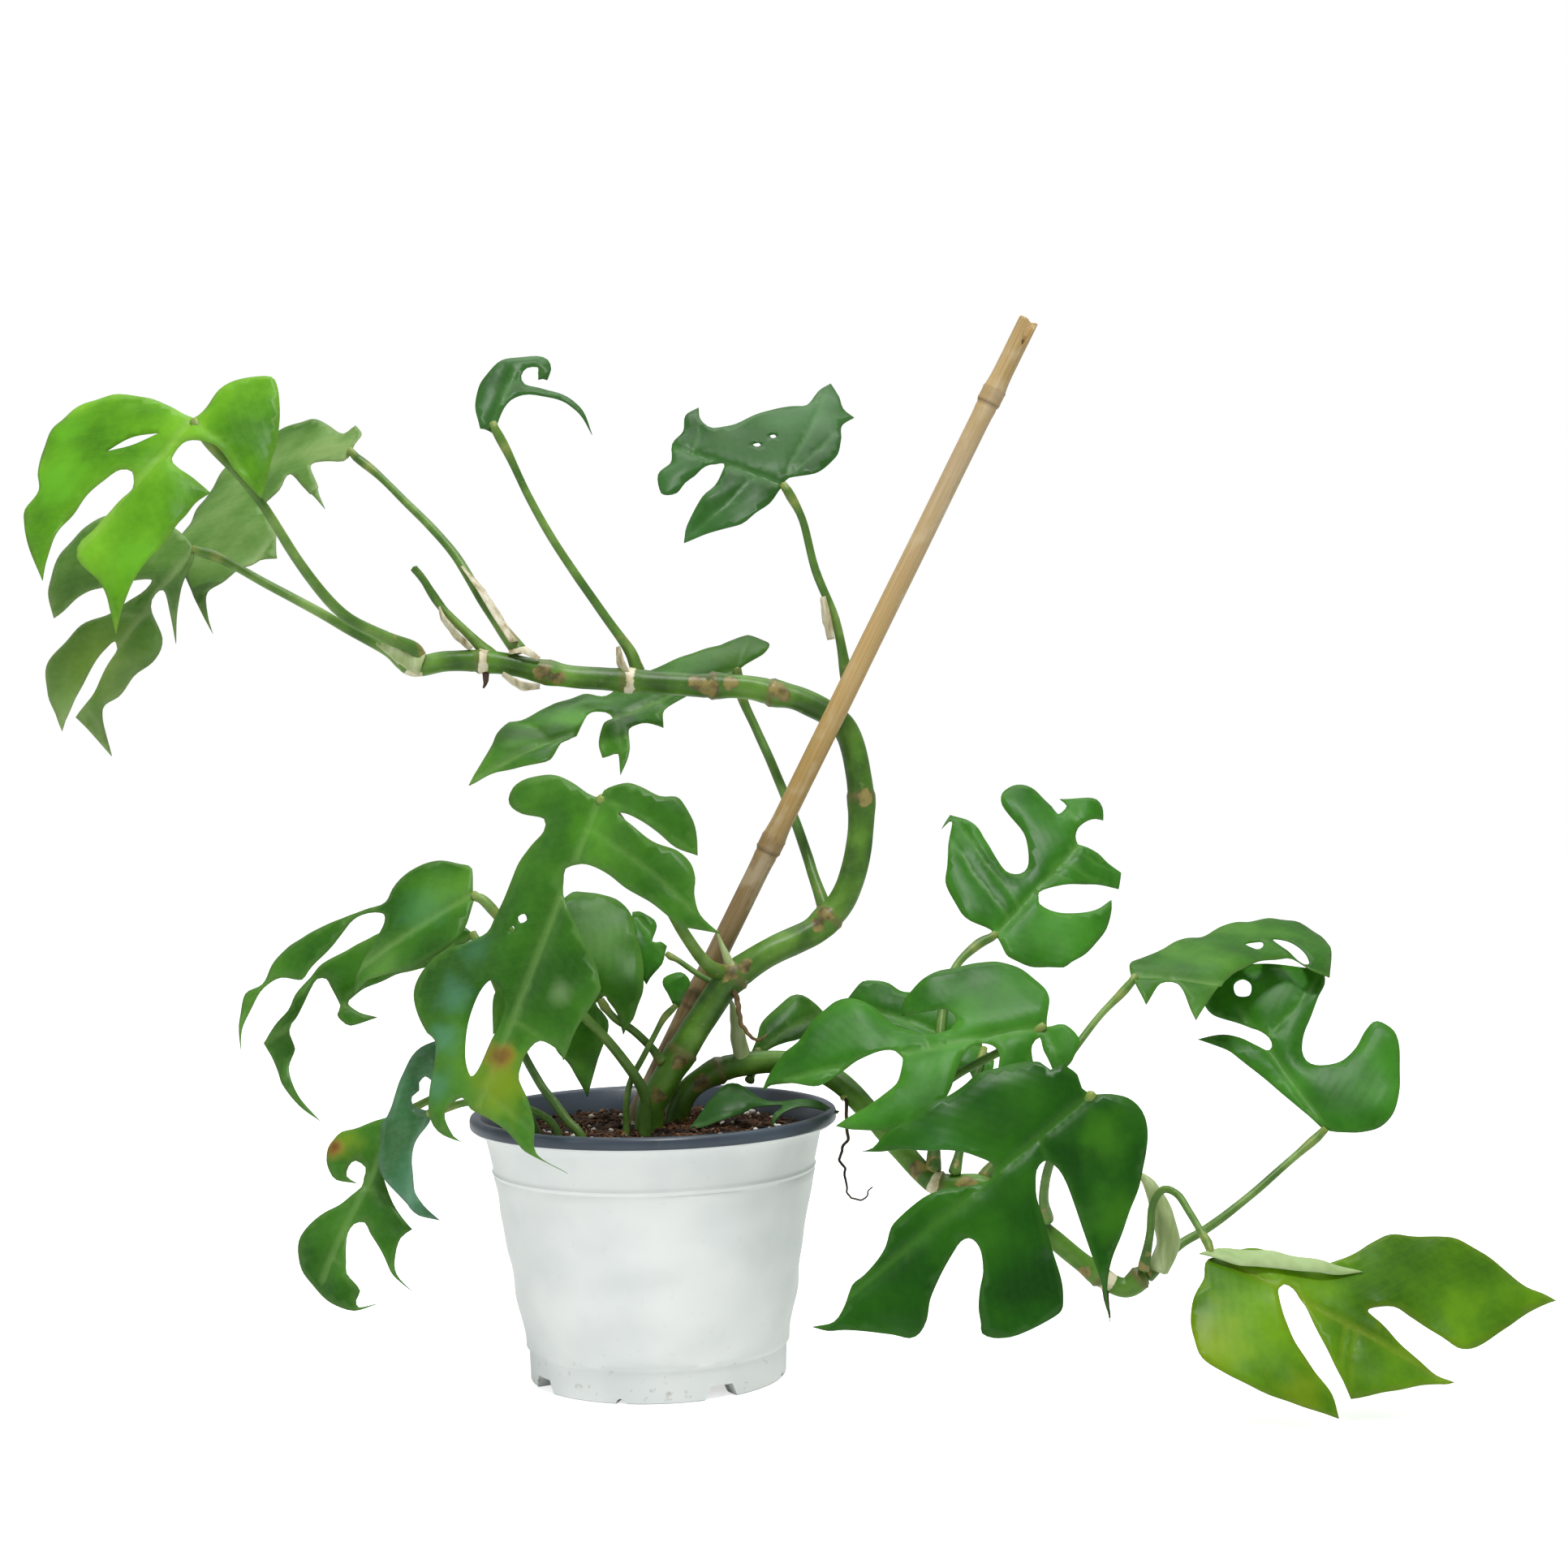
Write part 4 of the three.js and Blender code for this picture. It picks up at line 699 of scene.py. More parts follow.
             (113, 35), (118, 47), (126, 60), (120, 59), (114, 58), (105, 60), (94, 62), (85, 62),
             (80, 61), (68, 54), (58, 48), (53, 40), (49, 32), (45, 25), (39, 19), (24, 14),
             (12, 10)],
         stalk=[
             (200, -25, 47), (202, -28, 60), (203, -29, 71), (207, -32, 78), (212, -38, 77),
             (215, -48, 72), (217, -58, 68), (220, -69, 62)]),
]


def smoothLoop(outline, step, sharp=62):
    # the outline rounded through its points, but left sharp where it turns by more than sharp degrees
    pts = [np.array(p, float) for p in outline]
    n = len(pts)
    area = sum(pts[i][0] * pts[(i + 1) % n][1] - pts[i][1] * pts[(i + 1) % n][0] for i in range(n))
    if area < 0:
        pts.reverse()
    tips = []
    for i in range(n):
        before, after = pts[i] - pts[i - 1], pts[(i + 1) % n] - pts[i]
        turn = math.atan2(before[0] * after[1] - before[1] * after[0], float(before @ after))
        tips.append(turn > math.radians(sharp))
    loop = []
    for i in range(n):
        p1, p2 = pts[i], pts[(i + 1) % n]
        p0 = 2 * p1 - p2 if tips[i] else pts[i - 1]
        p3 = 2 * p2 - p1 if tips[(i + 1) % n] else pts[(i + 2) % n]
        span = float(np.linalg.norm(p2 - p1))
        # keep the ends' pull no longer than this stretch, so no loop is thrown
        m1 = (p2 - p0) * 0.5
        m2 = (p3 - p1) * 0.5
        for m in (m1, m2):
            size = float(np.linalg.norm(m))
            if size > span:
                m *= span / size
        count = max(2, round(span / step))
        for k in range(count):
            t = k / count
            spot = ((2 * t ** 3 - 3 * t * t + 1) * p1 + (t ** 3 - 2 * t * t + t) * m1
                    + (3 * t * t - 2 * t ** 3) * p2 + (t ** 3 - t * t) * m2)
            loop.append(spot)
    return np.array(loop), [pts[i] for i in range(n) if tips[i]]


def insideLoop(points, loop):
    # which points lie inside the closed loop
    inside = np.zeros(len(points), bool)
    x, y = points[:, 0], points[:, 1]
    for (x1, y1), (x2, y2) in zip(loop, np.roll(loop, -1, axis=0)):
        if y1 == y2:
            continue
        crosses = (y1 > y) != (y2 > y)
        inside ^= crosses & (x < (x2 - x1) * (y - y1) / (y2 - y1) + x1)
    return inside


def awayFrom(points, line, closed=False):
    # each point's distance to a run of straight stretches
    best = np.full(len(points), 1e9)
    ends = np.roll(line, -1, axis=0) if closed else line[1:]
    for a, b in zip(line if closed else line[:-1], ends):
        d = b - a
        share = np.clip(((points - a) @ d) / max(float(d @ d), 1e-9), 0, 1)
        best = np.minimum(best, np.linalg.norm(points - a - share[:, None] * d, axis=1))
    return best


def waves(points, scale, seed):
    # slow random rise and fall over the points
    return np.array([noise.noise(Vector((p[0] / scale, p[1] / scale, seed))) for p in points])


blade = dict(step=2.2, holeStep=1.32, grid=3.4, cell=0.8, edgeClear=1.1, holeClear=0.9, thick=0.45,
             ribDepth=1.3, ribWidth=1.7, ribLines=(-2.2, -0.9, 0, 0.9, 2.2), veinDepth=0.5,
             veinWidth=1.2, veinLines=(-1.8, -0.7, 0, 0.7, 1.8), shortestVein=8, puff=0.7, ripple=2.4,
             rippleReach=9.0, rippleSize=13, sway=1.6, swaySize=34, tipCurl=3.5, tipReach=22.0,
             markRing=1.6)
# glow marks are painted light shining through and sheen marks are painted reflections; yellow, pale
# and scorch are the leaf's own marks
markKinds = ["yellow", "pale", "glow", "sheen", "scorch"]


def alongVein(line, gaps, step=2.0):
    # points on both sides of a vein, so that its ridge comes out crisp
    out = []
    for a, b in zip(line[:-1], line[1:]):
        d = b - a
        size = float(np.linalg.norm(d))
        side = np.array([-d[1], d[0]]) / max(size, 1e-6)
        for k in range(int(size / step) + 1):
            out += [a + d * (k * step / max(size, 1e-6)) + side * gap for gap in gaps]
    return out


def bladeVeins(leaf, tips):
    # midrib from the stalk to the far end, and one side vein to each lobe
    reach = max(tips, key=lambda t: t[0]) if tips else np.array([leaf["length"], 0.0])
    far = np.array([min(leaf["length"], float(reach[0])), 0.0])
    if abs(reach[1]) < 0.3 * reach[0]:
        far = np.array(reach)
    rib = np.array([[0, 0], far * [0.35, 0.15], far * [0.7, 0.5], far])
    veins = []
    for tip in tips:
        run = max(far[0], 1)
        start = rib[0] + (far - rib[0]) * np.clip(tip[0] / run - 0.35 * abs(tip[1]) / run, 0, 0.85)
        if np.linalg.norm(tip - start) > blade["shortestVein"]:
            middle = start + (tip - start) * 0.5 + [-2.0, 0]
            veins.append(np.array([start, middle, tip * 0.97 + start * 0.03]))
    return rib, veins


def bladeSpots(leaf, loop, holes, rib, veins):
    # inner points: close along the veins and round the marks, and an even grid elsewhere
    spots = alongVein(rib, blade["ribLines"])
    for vein in veins:
        spots += alongVein(vein, blade["veinLines"])
    for a, b, radius, _, _ in leaf.get("marks", []):
        for k in range(int(radius / blade["markRing"])):
            turns = max(6, int(4.2 * (k + 1)))
            spots += [np.array([a, b]) + blade["markRing"] * k * np.array([math.cos(t), math.sin(t)])
                      for t in np.linspace(0, 2 * math.pi, turns, endpoint=False)]
    low, high = loop.min(axis=0), loop.max(axis=0)
    wide, tall = blade["grid"], blade["grid"] * 0.87
    for r in range(int((high[1] - low[1]) / tall) + 2):
        for c in range(int((high[0] - low[0]) / wide) + 2):
            spots.append(np.array([low[0] + (c + 0.5 * (r % 2)) * wide, low[1] + r * tall]))
    chosen, taken = [], set()
    for spot in spots:
        # one point to each small cell keeps the triangles from getting thin
        x, y = round(spot[0] / blade["cell"]), round(spot[1] / blade["cell"])
        if (x, y) not in taken:
            taken.update(((x, y), (x - 1, y), (x + 1, y), (x, y - 1), (x, y + 1)))
            chosen.append(spot)
    chosen = np.array(chosen)
    keep = insideLoop(chosen, loop) & (awayFrom(chosen, loop, True) > blade["edgeClear"])
    for hole in holes:
        keep &= ~insideLoop(chosen, hole) & (awayFrom(chosen, hole, True) > blade["holeClear"])
    return chosen[keep]


def fillOutline(loop, holes, spots):
    # triangles between the outline and its holes, through the inner points
    edges, first = [], 0
    for ring in [loop] + holes:
        edges += [(first + k, first + (k + 1) % len(ring)) for k in range(len(ring))]
        first += len(ring)
    flat = np.vstack([loop] + holes + [spots])
    cut = delaunay_2d_cdt([Vector(p) for p in flat.tolist()], edges, [], 0, 1e-4)
    pts = np.array([tuple(v) for v in cut[0]])
    tris = np.array([f for f in cut[2] if len(f) == 3])
    middles = pts[tris].mean(axis=1)
    good = insideLoop(middles, loop)
    for hole in holes:
        good &= ~insideLoop(middles, hole)
    tris = tris[good]
    used = np.unique(tris)
    renumber = np.full(len(pts), -1)
    renumber[used] = np.arange(len(used))
    return pts[used], renumber[tris]


def makeBlade(leaf, seed, replaced=None):
    # the filled outline is bent, ribbed and rippled, and marked for its skin
    loop, tips = smoothLoop(leaf["outline"], blade["step"])
    holes = [smoothLoop(hole, blade["holeStep"], 140)[0] for hole in leaf.get("holes", [])]
    rib, veins = bladeVeins(leaf, tips)
    pts, tris = fillOutline(loop, holes, bladeSpots(leaf, loop, holes, rib, veins))

    ribGap, edgeGap = awayFrom(pts, rib), awayFrom(pts, loop, True)
    veinGap, tipGap = np.full(len(pts), 1e9), np.full(len(pts), 1e9)
    for vein in veins:
        veinGap = np.minimum(veinGap, awayFrom(pts, vein))
    for tip in tips:
        tipGap = np.minimum(tipGap, np.linalg.norm(pts - tip, axis=1))

    ribLine = np.exp(-(ribGap / blade["ribWidth"]) ** 2)
    veinLine = np.exp(-(veinGap / blade["veinWidth"]) ** 2) * np.clip(edgeGap / 3, 0, 1)
    a, b = pts[:, 0], pts[:, 1]
    bend = -(leaf["droop"] * a * np.abs(a) + leaf["cup"] * b * b) / leaf["length"]
    near = np.clip(1 - edgeGap / blade["rippleReach"], 0, 1)
    curl = np.clip(1 - tipGap / blade["tipReach"], 0, 1) ** 2
    puff = (1 - np.exp(-(np.minimum(ribGap, veinGap) / 5) ** 2)) * np.clip(edgeGap / 6, 0, 1)
    lift = (bend - blade["ribDepth"] * ribLine - blade["veinDepth"] * veinLine + blade["puff"] * puff
            + blade["ripple"] * near * waves(pts, blade["rippleSize"], seed)
            + blade["sway"] * waves(pts, blade["swaySize"], seed + 40) - blade["tipCurl"] * curl)
    heads = Vector(leaf["heads"]).normalized()
    faceOut = Vector(leaf["faces"])
    faceOut = (faceOut - heads * faceOut.dot(heads)).normalized()
    across = faceOut.cross(heads)
    base = Vector(leaf["base"])
    verts = [(base + heads * float(p) + across * float(q) + faceOut * float(h)) * mm
             for p, q, h in zip(a, b, lift)]
    name = leaf["name"] + "_leaf"
    tone = leaf["tone"]
    under = limeUnder if tone in ("lime", "ripe") else leafUnder
    piece = newPiece(name, verts, [tuple(int(v) for v in t) for t in tris], [leafTones[tone], under],
                     [leaf["name"] + "_blade"] if replaced is None else replaced)
    if sum(polygon.normal.dot(faceOut) for polygon in piece.data.polygons) < 0:
        piece.data.flip_normals()
    addAttribute(piece, "vein", np.clip(ribLine + 0.55 * veinLine, 0, 1))
    addAttribute(piece, "rows", a - 0.6 * np.abs(b))
    addAttribute(piece, "rim", np.exp(-(edgeGap / 0.9) ** 2))
    for kind in markKinds:
        amount = np.zeros(len(pts))
        for a0, b0, radius, marked, strength in leaf.get("marks", []):
            if marked == kind:
                gap = np.hypot(a - a0, b - b0) * (1 + 0.5 * waves(pts, 5, seed + 7))
                amount = np.maximum(amount, strength * np.clip(1.3 * (1 - gap / radius), 0, 1))
        addAttribute(piece, kind, amount)
    # the second material covers the back
    addThickness(piece, blade["thick"]).material_offset = 1


for number, leaf in enumerate(leaves):
    makeBlade(leaf, number * 3.7)
# the near margin of the lowest leaf folds over and shows its back
lowRight = leaves[-1]
fold = dict(lowRight, name="low_right_fold", tone="pale", cup=0.05, marks=[], holes=[],
            base=tuple(Vector(lowRight["base"]) + Vector(lowRight["faces"]).normalized() * 3.6),
            outline=[(-4, -3), (1.6, 2.6), (19, 10.6), (37, 17.5), (55, 24.4), (44.6, 15.2), (27, 6.6),
                     (10, -1)])
makeBlade(fold, 91.0, [])
print("leaf blades done")


# stalks of the leaves
def stemMaterial(name, shades, scar, fleck, roughness):
    # waxy green bark: faint flecks, brown corky rings and scars, and dry paper left at the joints
    material, tree, shader = startMaterial(name)
    place = objectPlace(tree)
    broad = pattern(tree, place, 55.0, 4.0)
    fine = pattern(tree, place, 520.0, 3.0)
    middling = pattern(tree, place, 190.0, 3.0)
    body = ramp(tree, broad, [(0.34, shades[0]), (0.5, shades[1]), (0.68, shades[2])])
    flecks = mapRange(tree, fine, fromMin=0.62, fromMax=0.72)
    flecked = mixColour(tree, addScale(tree, flecks, 0.15), body, fleck)
    corky = mixColour(tree, addScale(tree, attribute(tree, "ring"), 0.75), flecked, scar)
    # torn edges: the mark's own strength is broken up by the middling pattern
    for kind, low, high in (("scar", "#4E4322", "#8E8248"), ("paper", "#B7AA80", "#E0D9BC")):
        torn = maths(tree, "ADD", attribute(tree, kind), middling)
        edge = mapRange(tree, torn, fromMin=0.94, fromMax=1.04)
        corky = mixColour(tree, edge, corky, ramp(tree, middling, [(0.36, low), (0.6, high)]))
    tree.links.new(corky, shader.inputs["Base Color"])
    addBump(tree, shader, fine, 0.15, 0.0003)
    shader.inputs["Roughness"].default_value = roughness
    shader.inputs["IOR"].default_value = 1.45
    return material


petioleSkin = stemMaterial("smooth_green_petiole", ["#3F661C", "#557C2A", "#789A48"],
                           "#8C9848", "#A2B870", 0.42)
vineSkin = stemMaterial("waxy_green_stem", ["#33590F", "#4E7A1C", "#6C9838"],
                        "#6A5A34", "#A8B078", 0.42)


def ringValues(along, places, width):
    # how strongly each point lies on one of the rings at the given places
    return [max(bump(d - p, width) for p in places) for d in along]


petiole = dict(sides=14, perSpan=6, swellAtBlade=0.35, swellAtStem=0.45, intoStem=3.0)


def makePetiole(leaf, seed):
    first, second = Vector(leaf["stalk"][0]), Vector(leaf["stalk"][1])
    rooted = Vector(leaf.get("root", first - (second - first).normalized() * petiole["intoStem"]))
    points = curvePoints([rooted] + leaf["stalk"], petiole["perSpan"])
    # run on to the blade and a little into the stem, where the skins meet
    points[-1] = Vector(leaf["base"]) - (Vector(leaf["base"]) - points[-2]).normalized() * 0.2
    thick, thin = leaf["radii"]

    def radiusAt(share, distance):
        r = thick + (thin - thick) * share
        r *= 1 + petiole["swellAtBlade"] * bump(share - 0.93, 0.06)
        return r * (1 + petiole["swellAtStem"] * bump(share, 0.1))

    verts, faces, along = sweep(points, radiusAt, petiole["sides"], seed, 0.05)
    piece = newPiece(leaf["name"] + "_stalk", verts, faces, [petioleSkin],
                     [leaf["name"] + "_petiole"])
    total = max(along)
    addAttribute(piece, "ring", ringValues(along, [total * 0.9, total], 2.5))
    # the sheath's dry edge browns the lower part
    addAttribute(piece, "scar", [0.42 * bump(d, total * 0.3) for d in along])


for number, leaf in enumerate(leaves):
    makePetiole(leaf, number * 5.1)
print("petioles done")


# the two climbing stems
# route and nodes are places; papers and scars are a place and a width
mainStem = dict(
    route=[(-3, -9, 76), (-2, -10, 92), (-1, -10, 110), (3, -10, 119), (12, -10, 134), (21, -9, 148),
           (34, -8, 165), (52, -4, 176), (70, 4, 184), (83, 8, 200), (89, 12, 226), (88, 14, 250),
           (82, 15, 268), (67, 15, 278), (54, 15, 282), (40, 15, 285), (21, 14, 286), (-2, 12, 288),
           (-33, 10, 291), (-61, 8, 297), (-81, 6, 298), (-95, 5, 296), (-100, 4, 299)],
    radii=[5.5, 6, 6, 5.8, 5.4, 5.2, 5, 4.8, 4.6, 4.2],
    nodes=[(12, -10, 134), (34, -8, 165), (74, 5, 187), (90, 13, 236), (54, 15, 282), (30, 15, 285),
           (-7, 12, 288), (-40, 10, 292), (-66, 8, 297)],
    papers=[(-66, 8, 297, 2.2), (-7, 12, 288, 2.6), (-95, 5, 296, 3), (78, 12, 271, 1.2)],
    scars=[(22, 8, 287, 3.4), (28, 8, 284, 3), (36, 8, 287, 2.8), (55, 9, 284, 3), (58, 9, 281, 2.4),
           (-42, 4, 293, 2.6), (-36, 5, 290, 2), (91, 7, 238, 2.4), (73, 0, 190, 2.6),
           (70, -1, 186, 2), (33, -13, 168, 3), (12, -16, 132, 2.4), (40, -12, 170, 2.2),
           (3, -15, 118, 2)])
trailStem = dict(
    route=[(8, 7, 82), (8, 7, 98), (12, 7, 113), (20, 8, 121), (32, 9, 126), (50, 7, 128),
           (66, 3, 126), (78, -3, 120), (90, -10, 108), (102, -16, 94), (116, -22, 81), (133, -25, 80),
           (147, -24, 71), (162, -22, 58), (181, -20, 42), (192, -20, 36), (200, -20, 41)],
    radii=[4.8, 5, 4.6, 4.4, 4, 4],
    nodes=[(26, 8, 124), (66, 3, 126), (116, -22, 81), (135, -25, 79), (181, -20, 42), (197, -20, 39)],
    papers=[(116, -22, 81, 2.4), (138, -25, 78, 2), (186, -20, 39, 2.6)],
    scars=[(20, 3, 120, 3), (60, 0, 127, 2.6), (108, -22, 87, 2.8), (128, -29, 81, 2.6),
           (176, -22, 44, 2)])
vine = dict(perSpan=12, sides=28, rough=0.06, swell=0.8, swellLength=4.5, lip=0.45, lipAt=1.5,
            lipLength=0.7, groove=0.35, grooveAt=3.2, grooveLength=0.9, ringLength=1.8)


def makeVine(name, spec, replaced, seed):
    points = curvePoints(spec["route"], vine["perSpan"])
    steps = distances(points)

    def stepAt(place):
        nearest = min(range(len(points)), key=lambda i: (points[i] - Vector(place)).length)
        return steps[nearest]

    knots = [stepAt(node) for node in spec["nodes"]]

    def radiusAt(share, distance):
        r = valueAt(spec["radii"], share)
        for knot in knots:
            gap = distance - knot
            # a swollen joint with a thin raised scar ring on it
            r += (vine["swell"] * bump(gap, vine["swellLength"])
                  + vine["lip"] * bump(gap - vine["lipAt"], vine["lipLength"]))
            r -= vine["groove"] * bump(gap - vine["grooveAt"], vine["grooveLength"])
        return r

    verts, faces, along = sweep(points, radiusAt, vine["sides"], seed, vine["rough"])
    piece = newPiece(name, verts, faces, [vineSkin], [replaced])
    lips = [knot + vine["lipAt"] for knot in knots]
    addAttribute(piece, "ring", ringValues(along, lips, vine["ringLength"]))
    addAttribute(piece, "scar", [max(bump((v / mm - Vector(place)).length, width + 2)
                                     for *place, width in spec["scars"]) * 0.9 for v in verts])
    bands = [(stepAt(place), width) for *place, width in spec["papers"]]
    addAttribute(piece, "paper", [max(0.8 * bump(d - at, width, 4) for at, width in bands)
                                  for d in along])


makeVine("main_vine", mainStem, "vine_main", 2.0)
makeVine("trailing_vine", trailStem, "vine_trailing", 9.0)
print("vines done")


# dry sheaths, the cut stalk and the aerial roots
def sheathMaterial(name, shades, roughness):
    # dry papery scale leaf: straw coloured, with long brown fibres
    material, tree, shader = startMaterial(name)
    fibre = pattern(tree, objectPlace(tree), 1.0, 4.0, (300, 300, 60))
    body = ramp(tree, fibre, [(0.3, shades[0]), (0.5, shades[1]), (0.68, shades[2])])
    tree.links.new(body, shader.inputs["Base Color"])
    addBump(tree, shader, fibre, 0.4, 0.0003)
    shader.inputs["Roughness"].default_value = roughness
    passLight(tree, shader, body, 0.2)
    return material


paperySheath = sheathMaterial("dry_papery_sheath", ["#A08E60", "#D8D0B0", "#F0EAD8"], 0.7)
greenSheath = sheathMaterial("pale_green_sheath", ["#A0B470", "#B6C68A", "#CCD8AA"], 0.5)
rootBrown = stemMaterial("aerial_root_brown", ["#4A3A20", "#6A5632", "#867048"],
                         "#5C4A34", "#9A8460", 0.75)
rootSkin = stemMaterial("dry_dark_root", ["#1E1712", "#33261C", "#4E3B2A"], "#5C4A34", "#6E5A40", 0.8)
sheath = dict(perSpan=7, across=12, fray=0.14, thick=0.25)


def makeSheath(name, route, widths, wrap, material, replaced=(), seed=0.0, facing=(0, -1, 0)):
    # a strip rolled round the route: wrap is how many degrees of a circle it covers
    points = curvePoints(route, sheath["perSpan"])
    across = sheath["across"]
    verts, faces = [], []
    for i, centre in enumerate(points):
        share = i / (len(points) - 1)
        ahead = (points[min(i + 1, len(points) - 1)] - points[max(i - 1, 0)]).normalized()
        out = Vector(facing)
        out = (out - ahead * out.dot(ahead)).normalized()
        side = ahead.cross(out)
        radius = valueAt(widths, share)
        for k in range(across + 1):
            turn = math.radians(wrap) * (k / across - 0.5)
            fray = 1 + sheath["fray"] * noise.noise(Vector((k * 0.5, share * 6, seed)))
            spot = centre + (out * math.cos(turn) + side * math.sin(turn)) * radius * fray
            verts.append(spot * mm)
    for i in range(len(points) - 1):
        for k in range(across):
            a = i * (across + 1) + k
            faces.append((a, a + 1, a + across + 2, a + across + 1))
    piece = newPiece(name, verts, faces, [material], replaced)
    addThickness(piece, sheath["thick"])


makeSheath("node_cataphyll", [(38, -9, 163), (34, -10, 170), (31, -9, 177), (28, -8, 185)],
           [3.4, 2.3, 1.4, 0.3], 150, greenSheath, ["node_sheath"], 1.0, (-0.6, -1, 0.4))
# dry strips left on the stalks near the crown: route, widths and the way that each faces
scraps = dict(
    crown_back_scrap=([(-56, 8, 303), (-63, 12, 314), (-70, 15, 326), (-77, 20, 337)],
                      [3.6, 3.4, 3, 1.2], (1, -0.5, 0.6)),
    stub_scrap=([(-70, 6, 304), (-75, 6, 310), (-81, 6, 317), (-84, 6, 321)],
                [2.2, 3.4, 2.8, 0.8], (-0.9, -0.5, -0.4)),
    crown_small_scrap=([(-6, 11, 292), (-8, 11, 297), (-10, 11, 303)],
                       [2.6, 3, 1.4], (-0.9, -0.6, 0.2)),
    crown_right_scrap=([(79.5, 12, 304), (78.2, 12, 313), (76, 12, 322)],
                       [2.4, 3, 1.8], (-0.8, -0.7, 0)),
    under_scrap=([(-58, 4, 293), (-50, 3, 289), (-43, 3, 288)], [1.6, 3, 1.8], (0, -0.7, -0.8)),
    over_scrap=([(-56, 6, 300), (-50, 6, 300), (-44, 6, 297)], [1.4, 2.6, 1.6], (0, -0.6, 0.9)))
scrapWidth = 1.25
for number, (name, (route, widths, facing)) in enumerate(scraps.items()):
    widths = [width * scrapWidth for width in widths]
    makeSheath(name, route, widths, 95, paperySheath, (), number * 2.3, facing)
# pale collar where the crown stalks leave the tip
makeSheath("crown_collar", [(-92, 4, 297), (-97, 3, 299), (-102, 0, 303), (-108, -4, 307)],
           [5, 4.6, 3.8, 2.6], 250, greenSheath, (), 5.0, (0.2, -1, -0.5))
makeSheath("tip_sheath",
           [(198, -22, 84), (203, -22, 78), (208, -21, 66), (210, -21, 54), (206, -20, 43)],
           [0.4, 2.6, 4.4, 4.8, 4.2], 200, greenSheath, ["trailing_sheath"], 2.0, (0.2, -1, 0))
makeSheath("pale_shoot_sheath", [(38, 8, 128), (36, 7, 137), (35, 5, 146), (33, 4, 155)],
           [3.6, 3.2, 2.4, 0.4], 250, greenSheath, ["pale_shoot"], 3.0)


def makeRoot(name, route, radii, replaced=(), seed=0.0, material=rootSkin, sides=10,
             wander=0.5):
    # a thin round strand that tapers and wanders a little off its route
    points = curvePoints(route, 10)
    for i, point in enumerate(points):
        push = Vector([noise.noise(Vector((i * 0.23, seed, shift))) for shift in (0, 9, 18)])
        points[i] = point + push * wander
    verts, faces, _ = sweep(points, lambda share, distance: valueAt(radii, share), sides, seed, 0.25)
    newPiece(name, verts, faces, [material], replaced)


makeRoot("upper_aerial_root",
         [(34, -10, 163), (36, -14, 157), (37, -16, 150), (40, -16, 143), (44, -16, 140),
          (48, -16, 142)],
         [1.3, 1.1, 0.9, 0.5], ["aerial_root"], 3.0, material=rootBrown, wander=1.0)
makeRoot("tip_bud", [(-66, 6, 293), (-66, 5, 289), (-67, 5, 286.5)], [1.5, 1.2, 0.4], (), 5.0,
         wander=0.1)
makeRoot("end_bud", [(184, -21, 38), (184.5, -22, 31), (186, -22, 24)], [1.6, 1.0, 0.3], (), 6.0,
         wander=0.2)
makeRoot("rim_aerial_root",
         [(80, -6, 119), (80, -12, 108), (80, -12, 98), (77, -12, 91), (79, -12, 84), (80, -12, 75),
          (86, -12, 73), (90, -12, 78)],
         [0.8, 0.7, 0.5, 0.3], ["hanging_root"], 7.0, wander=1.2)
makeRoot("petiole_stub",
         [(-62, 8, 299), (-70, 8, 306), (-77, 8, 313), (-85, 8, 322), (-91, 8, 332), (-95, 8, 337)],
         [2.6, 1.9, 1.7, 1.5], ["cut_petiole"], 4.0, petioleSkin, 14, 0.2)
print("sheaths and roots done")


# bamboo stake
# knots are shares of the length; each has a flare, two thin lips and a groove under the lower lip
stake = dict(foot=(-30, 9, 62), top=(162.1, -2.2, 434), footRadius=4.8, topRadius=4.1, bore=2.7,
             boreDepth=24, knots=[0.09, 0.25, 0.423, 0.915], flare=0.75, flareLength=6, lip=0.3,
             lipAt=2.6, lipLength=0.6, grooveAt=4.4, grooveLength=0.7, crackDepth=12, crackStart=0.86,
             crackSide=(0.55, -0.84, 0), sides=40, steps=420)


def bambooMaterial():
    # split-smooth cane: dark and stained near the soil, straw above, with fine long fibres
    material, tree, shader = startMaterial("dry_bamboo_cane")
    height, ring = attribute(tree, "height"), attribute(tree, "ring")
    place = addNode(tree, "ShaderNodeCombineXYZ", {0: attribute(tree, "around"), 2: height}).outputs[0]
    grain = pattern(tree, place, 3.0, 5.0, (8, 1, 3))
    stain = pattern(tree, place, 1.0, 3.0, (1.4, 1, 22))
    body = ramp(tree, height, [(0.0, "#3E2C18"), (0.2, "#644A24"), (0.4, "#7E6234"), (0.47, "#AA8844"),
                               (0.62, "#B89450"), (0.84, "#B9A27C"), (0.93, "#B4945A"),
                               (1.0, "#A68648")])
    grained = ramp(tree, grain, [(0.3, "#6E5836"), (0.5, "#B39C70"), (0.68, "#D8CCB0")])
    streaked = mixColour(tree, 0.26, body, grained)
    pale = mapRange(tree, stain, fromMin=0.52, fromMax=0.64)
    bleached = mixColour(tree, addScale(tree, pale, 0.3), streaked, "#D4C6A8")
    jointed = mixColour(tree, addScale(tree, ring, 0.7), bleached, "#5E4628")
    tree.links.new(jointed, shader.inputs["Base Color"])
    addBump(tree, shader, grain, 0.35, 0.0003)
    shader.inputs["Roughness"].default_value = 0.45
    shader.inputs["IOR"].default_value = 1.5
    return material


